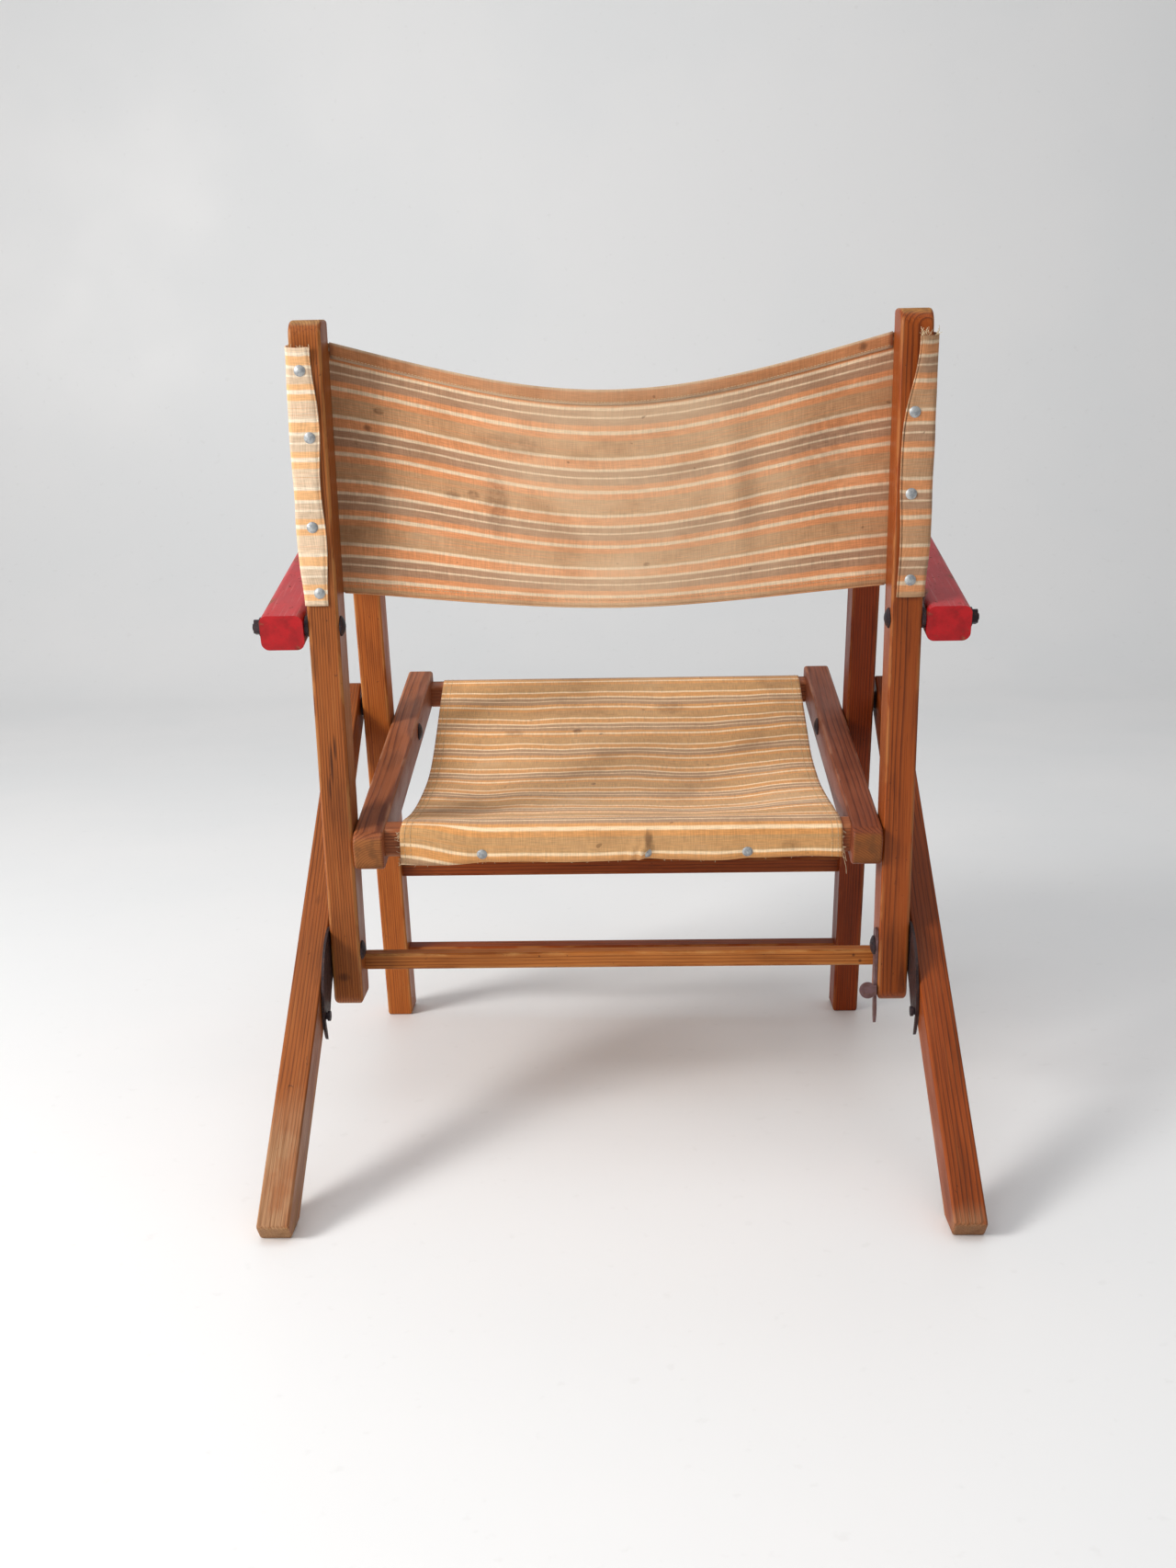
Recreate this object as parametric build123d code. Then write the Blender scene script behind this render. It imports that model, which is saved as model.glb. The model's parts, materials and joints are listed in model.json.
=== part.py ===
"""Folding deck chair: pine frame, red armrests, striped canvas back and seat slings, steel hooks.

Frame: X across the chair, +X is the sitter's left. Y runs front (-) to back (+). Z is up and the
floor is z = 0. All sizes are in millimetres. Side-view points are written as (y, z).

The front leg, the back post, the seat rail and the armrest make a parallelogram. The seat and the
armrests swing up about their front pivots, and the back post travels with them without turning.
"""

from build123d import *
from math import cos, hypot, radians, sin, tan
import os

os.makedirs("parts", exist_ok=True)

# Stock
BAR_W = 28.6  # posts, legs and rails, across the chair
BAR_D = 38.0  # the same bars, in side view
REAR_LEG_W = 28.6
EASE = 2.2  # the rounding of the long edges
LEG_FOOT_R = 4.5  # the rounding of the legs' and posts' sawn feet, seen along the chair
POST_FOOT_R = 8.0

# Layers across the chair, from the middle outwards
RAIL_X = 235.5  # middle of a seat rail
POST_X = 265.0  # middle of a back post and of a front leg
POST_IN = POST_X - BAR_W / 2
POST_OUT = POST_X + BAR_W / 2
RAIL_IN = RAIL_X - BAR_W / 2
RAIL_OUT = RAIL_X + BAR_W / 2
OUTER_IN = POST_OUT + 4.0  # inner face of the rear legs and of the armrests
REAR_LEG_OUT = OUTER_IN + REAR_LEG_W
ARM_W = 40.0
ARM_H = 33.5
ARM_OUT = OUTER_IN + ARM_W

# The parallelogram's pivots
SEAT_LINK = 257.0
SEAT_LINK_FALL = 13.6  # degrees that the line of the seat pivots falls towards the back
POST_LINK = 215.0
POST_LINK_LEAN = 8.9  # degrees that the line of the post pivots leans back
SEAT_FRONT = (-170.9, 354.6)
SEAT_REAR = (
    SEAT_FRONT[0] + SEAT_LINK * cos(radians(SEAT_LINK_FALL)),
    SEAT_FRONT[1] - SEAT_LINK * sin(radians(SEAT_LINK_FALL)),
)
RISE = (POST_LINK * sin(radians(POST_LINK_LEAN)), POST_LINK * cos(radians(POST_LINK_LEAN)))
ARM_FRONT = (SEAT_FRONT[0] + RISE[0], SEAT_FRONT[1] + RISE[1])
ARM_REAR = (SEAT_REAR[0] + RISE[0], SEAT_REAR[1] + RISE[1])

# Slopes of the bars themselves, in degrees
FRONT_LEG_LEAN = 11.5
POST_LEAN = 4.2
RAIL_FALL = 12.2
ARM_FALL = 14.3
REAR_LEG_FALL = 38.4

# Heights and lengths
POST_FOOT_Z = 131.5
POST_TOP_Z = 778.0
REAR_PIVOT_Z = 384.0
REAR_PIN_AT = (391.0, -7.8)  # the hook's pin, along the rear leg from its pivot and off its middle
REAR_TOE_Z = 16.0  # height of the rear leg's sawn heel edge above the floor
RAIL_BACK = 165.0  # from the middle of the seat pivots to the rail's rear end
RAIL_FRONT = 282.0
ARM_BACK = 141.0
ARM_FRONT_END = 207.0

# Hardware
PIN_R = 3.2  # shank of the pivot bolts
RUN = 0.08  # radial clearance of a shank in the bar that turns on it
HEAD_R = 9.3
PLATE = 2.5  # thickness of the hook plates
PLATE_X = (POST_OUT + OUTER_IN) / 2
HOOK_BOLT = (88.6, 187.0)
HOOK_PIN_R = 3.5

# Stretchers: depth, height and the height of the middle above the floor
STRETCHER_D = 16.0
STRETCHER_H = 19.0
FRONT_STRETCHER_UPPER_Z = 189.0
FRONT_STRETCHER_LOWER_Z = 78.0
POST_STRETCHER_D = 14.0
POST_STRETCHER_H = 16.5
POST_STRETCHER_Z = 168.5
POST_STRETCHER_SHIFT = 12.0  # from the middle of the post towards its front

# Seat bars: (along the rail towards the back, up from its middle)
SEAT_BAR_D = 22.0
REAR_BAR = (137.6, 3.0)
REAR_BAR_H = 30.0
FRONT_BAR = (-263.4, -5.0)
FRONT_BAR_H = 27.0

# Cloth
CLOTH = 1.4
GAP = 0.3  # between the cloth and the wood it lies on
STAND = GAP + CLOTH / 2  # from the wood to the middle of the cloth
SEAT_CLOTH_LEFT = 207.0
SEAT_CLOTH_RIGHT = -214.0
SEAT_SAG = 27.0
SEAT_FLAP_T = -15.0  # how low the cloth hangs behind the rear bar, from the rail's middle
BACK_LOW = 128.0  # along the post from the middle of its pivots
BACK_HIGH = 357.0
BACK_LIFT = 5.5  # the lower edge is this much higher between the posts than behind them
BACK_BULGE = 14.0
TOP_SAG = 44.0
LOW_SAG = 13.0
WRAP_IN = 257.5  # inner edge of the strip behind each post
WRAP_R = 3.0 + STAND

# Tacks: (across the chair, along the post) on the posts, and across the chair on the seat bars
TACK_R = 5.0
TACK_SHANK_R = 1.1
BACK_TACKS_LEFT = ((270.4, 335.0), (265.5, 277.5), (268.5, 199.0), (266.0, 139.5))
BACK_TACKS_RIGHT = ((-265.0, 290.5), (-264.5, 220.0), (-266.5, 143.5))
BACK_SHANK = 12.0
SEAT_REAR_TACKS = (129.0, -28.0, -124.0)
SEAT_REAR_TACK_T = -8.0
SEAT_FRONT_TACKS = (150.0, 0.0, -150.0)
SEAT_FRONT_TACK_T = -10.0
SEAT_SHANK = 11.0


def line_through(point, degrees_back, z):
    """The point at height z on a line that leans back by that angle."""
    return (point[0] + (z - point[1]) * tan(radians(degrees_back)), z)


def middle(a, b):
    return ((a[0] + b[0]) / 2, (a[1] + b[1]) / 2)


class Way:
    """Side-view directions of a bar: along() is down its length, and off is to the side."""

    def __init__(self, start, direction):
        self.start = start
        self.u = direction
        self.v = (-direction[1], direction[0])

    def at(self, s, t=0.0):
        return (
            self.start[0] + s * self.u[0] + t * self.v[0],
            self.start[1] + s * self.u[1] + t * self.v[1],
        )

    def of(self, point):
        """The (s, t) of a side-view point."""
        d = (point[0] - self.start[0], point[1] - self.start[1])
        return (d[0] * self.u[0] + d[1] * self.u[1], d[0] * self.v[0] + d[1] * self.v[1])


FRONT_MID = middle(SEAT_FRONT, ARM_FRONT)
POST_MID = middle(SEAT_REAR, ARM_REAR)
SEAT_MID = middle(SEAT_FRONT, SEAT_REAR)
ARM_MID = middle(ARM_FRONT, ARM_REAR)
REAR_PIVOT = line_through(FRONT_MID, FRONT_LEG_LEAN, REAR_PIVOT_Z)

# On the post, the front leg and the rails, t is positive towards the front or upwards.
FRONT_WAY = Way(FRONT_MID, (sin(radians(FRONT_LEG_LEAN)), cos(radians(FRONT_LEG_LEAN))))
POST_WAY = Way(POST_MID, (sin(radians(POST_LEAN)), cos(radians(POST_LEAN))))
RAIL_WAY = Way(SEAT_MID, (cos(radians(RAIL_FALL)), -sin(radians(RAIL_FALL))))
ARM_WAY = Way(ARM_MID, (cos(radians(ARM_FALL)), -sin(radians(ARM_FALL))))
REAR_WAY = Way(REAR_PIVOT, (cos(radians(REAR_LEG_FALL)), -sin(radians(REAR_LEG_FALL))))
HOOK_PIN = REAR_WAY.at(*REAR_PIN_AT)


def prism(points, x_low, x_high):
    """A side-view outline, given depth across the chair."""
    face = Plane.YZ.offset(x_low) * Polygon(*points, align=None)
    return extrude(face, x_high - x_low, dir=(1, 0, 0))


def rod(point, r, x_low, x_high):
    """A round bar across the chair."""
    return Pos((x_low + x_high) / 2, point[0], point[1]) * Rot(0, 90, 0) * Cylinder(r, x_high - x_low)


def dome(r, h, rim):
    """A round head of that height that stands on z = 0: a straight rim under a shallow dome."""
    rise = h - rim
    ball_r = (r * r + rise * rise) / (2 * rise)
    ball = Pos(0, 0, h - ball_r) * Sphere(ball_r)
    return Pos(0, 0, h / 2) * Cylinder(r, h) & (ball + Pos(0, 0, rim / 2) * Cylinder(2 * r, rim))


def domed(point, x_seat, x_end, side, shank_r=PIN_R, head_r=HEAD_R, head_h=4.0, rim=1.0):
    """A domed bolt: its head stands on x_seat towards side (1 outwards, -1 inwards)."""
    head = Pos(x_seat, point[0], point[1]) * Rot(0, 90 * side, 0) * dome(head_r, head_h, rim)
    inside = x_seat + side * rim / 2
    return head + rod(point, shank_r, min(inside, x_end), max(inside, x_end))


def ring(point, r_in, r_out, x_low, x_high):
    return rod(point, r_out, x_low, x_high) - rod(point, r_in, x_low - 1, x_high + 1)


def mirrored(part):
    return mirror(part, Plane.YZ)


def both(part):
    """A piece and its mirror image, as one group of separate solids."""
    return Compound(children=list(part.solids()) + list(mirrored(part).solids()))


def round_ended(x_low, x_high, z_low, r):
    """A tall block as wide as a bar, with its two low edges rounded, seen along the chair."""
    tall = 1000.0
    block = Pos((x_low + x_high) / 2, 0, z_low + tall / 2) * Box(x_high - x_low, 2 * tall, tall)
    low_edges = [e for e in block.edges().filter_by(Axis.Y) if e.center().Z < z_low + 1]
    return fillet(low_edges, r)


def bar(points, x_low, x_high, corners, r=EASE, low_r=0.0):
    """A bar with an outline in side view, a radius at each of its corners and eased edges.

    low_r rounds the sawn lower end, seen along the chair.
    """
    part = prism(points, x_low, x_high)
    for radius in sorted(set(corners)):
        places = [p for p, c in zip(points, corners) if c == radius]
        across = [
            e
            for e in part.edges().filter_by(Axis.X)
            if any(hypot(e.center().Y - y, e.center().Z - z) < 0.01 for y, z in places)
        ]
        if radius > 0:
            part = fillet(across, radius)
    sides = [e for e in part.edges() if min(abs(e.center().X - x) for x in (x_low, x_high)) < 0.01]
    part = fillet(sides, r)
    if low_r > 0:
        part &= round_ended(x_low, x_high, part.bounding_box().min.Z, low_r)
    return part


nodes = {}


def add(name, part):
    nodes[name] = part


def add_pair(name, part):
    nodes[name + "_left"] = part
    nodes[name + "_right"] = mirrored(part)


# ---------------------------------------------------------------- front legs and stretchers
HALF = BAR_D / 2
leg_top = FRONT_WAY.of(ARM_FRONT)[0] + 15.0
leg_outline = [
    line_through(FRONT_WAY.at(0, HALF), FRONT_LEG_LEAN, 0.0),
    FRONT_WAY.at(leg_top, HALF),
    FRONT_WAY.at(leg_top, -HALF),
    line_through(FRONT_WAY.at(0, -HALF), FRONT_LEG_LEAN, 0.0),
]
front_leg = bar(leg_outline, POST_IN, POST_OUT, (3.0, 6.0, 6.0, 3.0), low_r=LEG_FOOT_R)


def stretcher(way, z, depth, height, shift=0.0):
    """A square bar between two uprights: way is the upright's, shift is towards the front."""
    s = (z - way.start[1]) / way.u[1]
    outline = [
        way.at(s + a * height / 2, shift + b * depth / 2) for a, b in ((-1, -1), (1, -1), (1, 1), (-1, 1))
    ]
    part = prism(outline, -POST_IN, POST_IN)
    return fillet(part.edges().filter_by(Axis.X), 2.5)


add("front_stretcher_upper", stretcher(FRONT_WAY, FRONT_STRETCHER_UPPER_Z, STRETCHER_D, STRETCHER_H))
add("front_stretcher_lower", stretcher(FRONT_WAY, FRONT_STRETCHER_LOWER_Z, STRETCHER_D, STRETCHER_H))

# The seat's bolt stops inside the leg, and so does the rear leg's, from the other side.
BOLT_STOP_OUT = POST_OUT - 3.0
BOLT_STOP_IN = POST_IN + 5.0
front_leg -= rod(SEAT_FRONT, PIN_R + 0.05, POST_IN - 1, BOLT_STOP_OUT + 0.2)
front_leg -= rod(REAR_PIVOT, PIN_R + 0.05, BOLT_STOP_IN - 0.2, POST_OUT + 1)
front_leg -= rod(ARM_FRONT, PIN_R + 0.05, POST_IN - 1, POST_OUT + 1)
add_pair("front_leg", front_leg)

add("seat_front_bolts", both(domed(SEAT_FRONT, RAIL_IN - GAP, BOLT_STOP_OUT, -1)))
add("rear_leg_bolts", both(domed(REAR_PIVOT, REAR_LEG_OUT + GAP, BOLT_STOP_IN, 1)))
SPACER_R = 9.5
add("rear_leg_spacers", both(ring(REAR_PIVOT, PIN_R + 0.1, SPACER_R, POST_OUT, OUTER_IN - GAP)))

# ---------------------------------------------------------------- armrest bolts, spacers, nuts
BOLT_END = ARM_OUT + 8.5
WASHER_X = ARM_OUT + GAP
NUT_X = WASHER_X + 1.5
NUT_W = 12.5
NUT_H = 5.0


def nut(point):
    block = Box(NUT_H, NUT_W, NUT_W)
    block = chamfer(block.edges().filter_by(Axis.X), 1.2)
    block = Pos(NUT_X + NUT_H / 2, point[0], point[1]) * Rot(14, 0, 0) * block
    return block - rod(point, PIN_R + 0.03, NUT_X - 1, NUT_X + NUT_H + 1)


for place, point in (("front", ARM_FRONT), ("rear", ARM_REAR)):
    add(f"arm_{place}_bolts", both(domed(point, POST_IN, BOLT_END, -1, head_h=4.6)))
    add(f"arm_{place}_spacers", both(ring(point, PIN_R + 0.1, SPACER_R, POST_OUT, OUTER_IN - GAP)))
    add(f"arm_{place}_washers", both(ring(point, PIN_R + 0.1, 9.0, WASHER_X, NUT_X)))
    add(f"arm_{place}_nuts", both(nut(point)))

# ---------------------------------------------------------------- armrests
arm_outline = [
    ARM_WAY.at(-ARM_FRONT_END, ARM_H / 2),
    ARM_WAY.at(ARM_BACK, ARM_H / 2),
    ARM_WAY.at(ARM_BACK, -ARM_H / 2),
    ARM_WAY.at(-ARM_FRONT_END, -ARM_H / 2),
]
armrest = prism(arm_outline, OUTER_IN, ARM_OUT)
length = ARM_FRONT_END + ARM_BACK
uprights = [e for e in armrest.edges() if abs(e.length - ARM_H) < 0.01]
armrest = fillet([e for e in uprights if e.center().Y < 0], 16.0)
rims = [e for e in armrest.edges() if e.length > length - 20 or e.geom_type == GeomType.CIRCLE]
nose_rims = [e for e in armrest.edges().filter_by(Axis.X) if e.center().Y < 0]
armrest = fillet(rims + nose_rims, 7.5)
armrest -= rod(ARM_FRONT, PIN_R + RUN, OUTER_IN - 1, ARM_OUT + 1)
armrest -= rod(ARM_REAR, PIN_R + RUN, OUTER_IN - 1, ARM_OUT + 1)
add_pair("armrest", armrest)

# ---------------------------------------------------------------- seat rails and bars
rail_outline = [
    RAIL_WAY.at(-RAIL_FRONT, HALF),
    RAIL_WAY.at(RAIL_BACK, HALF),
    RAIL_WAY.at(RAIL_BACK, -HALF),
    RAIL_WAY.at(-RAIL_FRONT, -HALF),
]
rail = bar(rail_outline, RAIL_IN, RAIL_OUT, (6.0, 12.0, 10.0, 9.0), r=3.0)
rail -= rod(SEAT_FRONT, PIN_R + RUN, RAIL_IN - 1, RAIL_OUT + 1)
SCREW_STOP = RAIL_IN + 5.0
rail -= rod(SEAT_REAR, PIN_R + RUN, SCREW_STOP - 0.5, RAIL_OUT + 1)
add_pair("seat_rail", rail)


def seat_bar(centre, height):
    s, t = centre
    outline = [
        RAIL_WAY.at(s + a * SEAT_BAR_D / 2, t + b * height / 2)
        for a, b in ((-1, -1), (1, -1), (1, 1), (-1, 1))
    ]
    part = prism(outline, -RAIL_IN, RAIL_IN)
    return fillet(part.edges().filter_by(Axis.X), 5.0)


rear_bar = seat_bar(REAR_BAR, REAR_BAR_H)
front_bar = seat_bar(FRONT_BAR, FRONT_BAR_H)

# ---------------------------------------------------------------- seat sling
def seat_line():
    """The middle of the seat cloth in side view, in the rail's (s, t), from back to front."""
    rear_face = REAR_BAR[0] + SEAT_BAR_D / 2 + STAND
    rear_top = REAR_BAR[1] + REAR_BAR_H / 2 + STAND
    front_face = FRONT_BAR[0] - SEAT_BAR_D / 2 - STAND
    front_top = FRONT_BAR[1] + FRONT_BAR_H / 2 + STAND
    corner = 5.0 + STAND
    line = [(rear_face, SEAT_FLAP_T)]
    for k in range(7):
        a = radians(15 * k)
        line.append((rear_face - corner + corner * cos(a), rear_top - corner + corner * sin(a)))
    s0, t0 = REAR_BAR[0] - SEAT_BAR_D / 2 + 4, rear_top
    s1, t1 = FRONT_BAR[0] + SEAT_BAR_D / 2 - 4, front_top
    steps = 14
    for k in range(steps + 1):
        a = k / steps
        sag = SEAT_SAG * 4 * a * (1 - a) * (1.25 - 0.5 * a)
        line.append((s0 + (s1 - s0) * a, t0 + (t1 - t0) * a - sag))
    for k in range(7):
        a = radians(15 * k)
        line.append((front_face + corner - corner * sin(a), front_top - corner + corner * cos(a)))
    line.append((front_face, FRONT_BAR[1] - FRONT_BAR_H / 2 - 1.0))
    return line


def thick(line, width):
    """A closed outline of that width about an open line of points."""
    sides = [], []
    last = len(line) - 1
    for i, (x, y) in enumerate(line):
        a = line[max(i - 1, 0)]
        b = line[min(i + 1, last)]
        n = hypot(b[0] - a[0], b[1] - a[1])
        nx, ny = -(b[1] - a[1]) / n, (b[0] - a[0]) / n
        sides[0].append((x + nx * width / 2, y + ny * width / 2))
        sides[1].append((x - nx * width / 2, y - ny * width / 2))
    return sides[0] + sides[1][::-1]


seat_line_points = seat_line()
seat_outline = [RAIL_WAY.at(s, t) for s, t in thick(seat_line_points, CLOTH)]
seat_sling = prism(seat_outline, SEAT_CLOTH_RIGHT, SEAT_CLOTH_LEFT)
seat_run = sum(
    hypot(b[0] - a[0], b[1] - a[1]) for a, b in zip(seat_line_points, seat_line_points[1:])
)
print("seat cloth in side view", round(seat_run, 1))


def tack(centre, away, shank):
    """A domed tack: its head's underside is at centre, and it stands towards away."""
    stem = Pos(0, 0, (0.5 - shank) / 2) * Cylinder(TACK_SHANK_R, shank + 0.5)
    return Plane(origin=centre, z_dir=away) * (dome(TACK_R, 2.2, 0.5) + stem)


def tack_hole(centre, away, shank):
    place = Plane(origin=centre, z_dir=away)
    return place * Pos(0, 0, -shank / 2) * Cylinder(TACK_SHANK_R + 0.08, shank + 0.4)


# The tacks of the rear bar point forwards into it, and those of the front bar backwards.
CLEAR = 0.05  # between the cloth and a tack's head
seat_back_way = (0, RAIL_WAY.u[0], RAIL_WAY.u[1])
seat_front_way = (0, -RAIL_WAY.u[0], -RAIL_WAY.u[1])
rear_tack_s = REAR_BAR[0] + SEAT_BAR_D / 2 + GAP + CLOTH + CLEAR
front_tack_s = FRONT_BAR[0] - SEAT_BAR_D / 2 - GAP - CLOTH - CLEAR
rear_tacks = []
for x in SEAT_REAR_TACKS:
    y, z = RAIL_WAY.at(rear_tack_s, SEAT_REAR_TACK_T)
    rear_tacks += tack((x, y, z), seat_back_way, SEAT_SHANK).solids()
    hole = tack_hole((x, y, z), seat_back_way, SEAT_SHANK)
    rear_bar -= hole
    seat_sling -= hole
front_tacks = []
for x in SEAT_FRONT_TACKS:
    y, z = RAIL_WAY.at(front_tack_s, SEAT_FRONT_TACK_T)
    front_tacks += tack((x, y, z), seat_front_way, SEAT_SHANK).solids()
    hole = tack_hole((x, y, z), seat_front_way, SEAT_SHANK)
    front_bar -= hole
    seat_sling -= hole
add("seat_bar_front", front_bar)
add("seat_bar_rear", rear_bar)
add("seat_sling", seat_sling)
add("seat_tacks", Compound(children=rear_tacks))
add("seat_front_tacks", Compound(children=front_tacks))

# ---------------------------------------------------------------- back posts
post_low = (POST_FOOT_Z - POST_MID[1]) / POST_WAY.u[1]
post_high = (POST_TOP_Z - POST_MID[1]) / POST_WAY.u[1] - 1.4
post_outline = [
    POST_WAY.at(post_low, HALF),
    POST_WAY.at(post_high, HALF),
    POST_WAY.at(post_high, -HALF),
    POST_WAY.at(post_low, -HALF),
]
post = bar(post_outline, POST_IN, POST_OUT, (10.0, 4.0, 15.0, 12.0), r=3.0, low_r=POST_FOOT_R)
post -= rod(SEAT_REAR, PIN_R + 0.05, POST_IN - 1, POST_OUT + 1)
post -= rod(ARM_REAR, PIN_R + 0.05, POST_IN - 1, POST_OUT + 1)
post -= rod(HOOK_BOLT, PIN_R + 0.05, POST_IN - 1, POST_OUT + 1)

post_stretcher = stretcher(
    POST_WAY, POST_STRETCHER_Z, POST_STRETCHER_D, POST_STRETCHER_H, shift=POST_STRETCHER_SHIFT
)
add("post_stretcher", post_stretcher)

# The seat hangs on a screw from the post's outer face. Its shank ends inside the rail.
add("seat_rear_screws", both(domed(SEAT_REAR, POST_OUT, SCREW_STOP, 1, head_h=3.2, rim=0.8)))

# ---------------------------------------------------------------- back sling
def back_line():
    """The middle of the back cloth in the post's cross-section, as (x, t), t towards the front."""
    half = [(WRAP_IN, -HALF - STAND)]
    x_out = POST_OUT + STAND
    t_out = HALF + STAND
    for k in range(5):
        a = radians(22.5 * k)
        half.append((x_out - WRAP_R + WRAP_R * sin(a), -t_out + WRAP_R - WRAP_R * cos(a)))
    for k in range(5):
        a = radians(22.5 * k)
        half.append((x_out - WRAP_R + WRAP_R * cos(a), t_out - WRAP_R + WRAP_R * sin(a)))
    half.append((POST_IN + 1, t_out))
    steps = 8
    for k in range(1, steps):
        a = k / steps
        half.append(((POST_IN + 1) * (1 - a), t_out - BACK_BULGE * sin(radians(90 * a)) ** 2))
    other = [(-x, t) for x, t in half[::-1]]
    return half + [(0.0, t_out - BACK_BULGE)] + other


back_points = back_line()
post_plane = Plane(
    origin=(0, POST_MID[0], POST_MID[1]),
    x_dir=(1, 0, 0),
    z_dir=(0, POST_WAY.u[0], POST_WAY.u[1]),
)
# This plane's own y is (z_dir x x_dir), which points to the back, so t changes sign.
outline = [(x, -t) for x, t in thick(back_points, CLOTH)]
back_face = post_plane.offset(BACK_LOW - 12) * Polygon(*outline, align=None)
back_sling = extrude(back_face, BACK_HIGH - BACK_LOW + 12, dir=post_plane.z_dir)
edge_x = POST_OUT + 8
cut_plane = Plane(
    origin=(0, POST_MID[0], POST_MID[1]),
    x_dir=(1, 0, 0),
    z_dir=(0, POST_WAY.v[0], POST_WAY.v[1]),
)
# Seen along the chair: straight over the posts, and sagging at both edges between them
low_edge_y = BACK_LOW + BACK_LIFT
top_curve = ThreePointArc((-POST_IN, BACK_HIGH), (0, BACK_HIGH - TOP_SAG), (POST_IN, BACK_HIGH))
low_curve = ThreePointArc((-POST_IN, low_edge_y), (0, low_edge_y - LOW_SAG), (POST_IN, low_edge_y))
right_side = Polyline((POST_IN, BACK_HIGH), (edge_x, BACK_HIGH), (edge_x, BACK_LOW), (POST_IN, low_edge_y))
left_side = Polyline((-POST_IN, low_edge_y), (-edge_x, BACK_LOW), (-edge_x, BACK_HIGH), (-POST_IN, BACK_HIGH))
region = make_face(top_curve.edges() + right_side.edges() + low_curve.edges() + left_side.edges())
back_sling &= extrude(cut_plane * region, 60, both=True)
back_run = sum(hypot(b[0] - a[0], b[1] - a[1]) for a, b in zip(back_points, back_points[1:]))
print("back cloth in plan", round(back_run, 1))

post_back_way = (0, -POST_WAY.v[0], -POST_WAY.v[1])
posts = {"left": post, "right": mirrored(post)}
back_tack_solids = []
for side, tacks in (("left", BACK_TACKS_LEFT), ("right", BACK_TACKS_RIGHT)):
    for x, s in tacks:
        y, z = POST_WAY.at(s, -(HALF + GAP + CLOTH + CLEAR))
        back_tack_solids += tack((x, y, z), post_back_way, BACK_SHANK).solids()
        hole = tack_hole((x, y, z), post_back_way, BACK_SHANK)
        posts[side] -= hole
        back_sling -= hole
add("back_post_left", posts["left"])
add("back_post_right", posts["right"])
add("back_sling", back_sling)
add("back_tacks", Compound(children=back_tack_solids))

# ---------------------------------------------------------------- rear legs
heel = REAR_WAY.at(0, HALF)
heel_run = (heel[1] - REAR_TOE_Z) / sin(radians(REAR_LEG_FALL))
heel_point = REAR_WAY.at(heel_run, HALF)
down = (-REAR_WAY.v[0], -REAR_WAY.v[1])
drop = heel_point[1] / -down[1]
toe_point = (heel_point[0] + down[0] * drop, 0.0)
low_edge = REAR_WAY.at(0, -HALF)
low_run = low_edge[1] / sin(radians(REAR_LEG_FALL))
leg_end = -22.0
rear_outline = [
    REAR_WAY.at(leg_end, HALF),
    heel_point,
    toe_point,
    REAR_WAY.at(low_run, -HALF),
    REAR_WAY.at(leg_end, -HALF),
]
rear_leg = bar(rear_outline, OUTER_IN, REAR_LEG_OUT, (7.0, 3.5, 3.0, 2.5, 7.0), low_r=LEG_FOOT_R)
rear_leg -= rod(REAR_PIVOT, PIN_R + RUN, OUTER_IN - 1, REAR_LEG_OUT + 1)
rear_leg -= rod(HOOK_PIN, HOOK_PIN_R + 0.05, OUTER_IN - 1, REAR_LEG_OUT + 1)
add_pair("rear_leg", rear_leg)

PIN_END = POST_OUT - 3.2
hook_pin = domed(HOOK_PIN, REAR_LEG_OUT, PIN_END, 1, shank_r=HOOK_PIN_R, head_r=7.5, head_h=3.0)
hook_pin += rod(HOOK_PIN, 4.8, PIN_END, PIN_END + 2.5)
add_pair("hook_pin", hook_pin)

# ---------------------------------------------------------------- hook plates
# The outline hangs from the post's bolt, bulges to the back and ends in a tip below the pin.
HOOK_OUTLINE = (
    (14, 9), (10, 19), (-2, 24), (-18, 20.5), (-32, 11), (-43, -4), (-49, -22), (-51.5, -40),
    (-51, -54), (-47.5, -66), (-41, -76), (-35, -78), (-31, -70), (-24, -56), (-12, -38), (3, -22),
    (12, -8),
)


def about_bolt(dy, dz):
    """A point from the hook's bolt: dy towards the front, dz up."""
    return (HOOK_BOLT[0] - dy, HOOK_BOLT[1] + dz)


def plate_face(outline):
    """A smooth closed outline about the hook's bolt, as a face in the plane x = 0."""
    points = [(0, *about_bolt(dy, dz)) for dy, dz in outline]
    return make_face(Spline(*points, periodic=True).edges())


hook_face = plate_face(HOOK_OUTLINE)
hook = extrude(Pos(PLATE_X - PLATE / 2, 0, 0) * hook_face, PLATE, dir=(1, 0, 0))
hook -= rod(HOOK_BOLT, PIN_R + RUN, PLATE_X - 5, PLATE_X + 5)
MOUTH_R = HOOK_PIN_R + 0.35
MOUTH_REACH = 45.0
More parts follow.
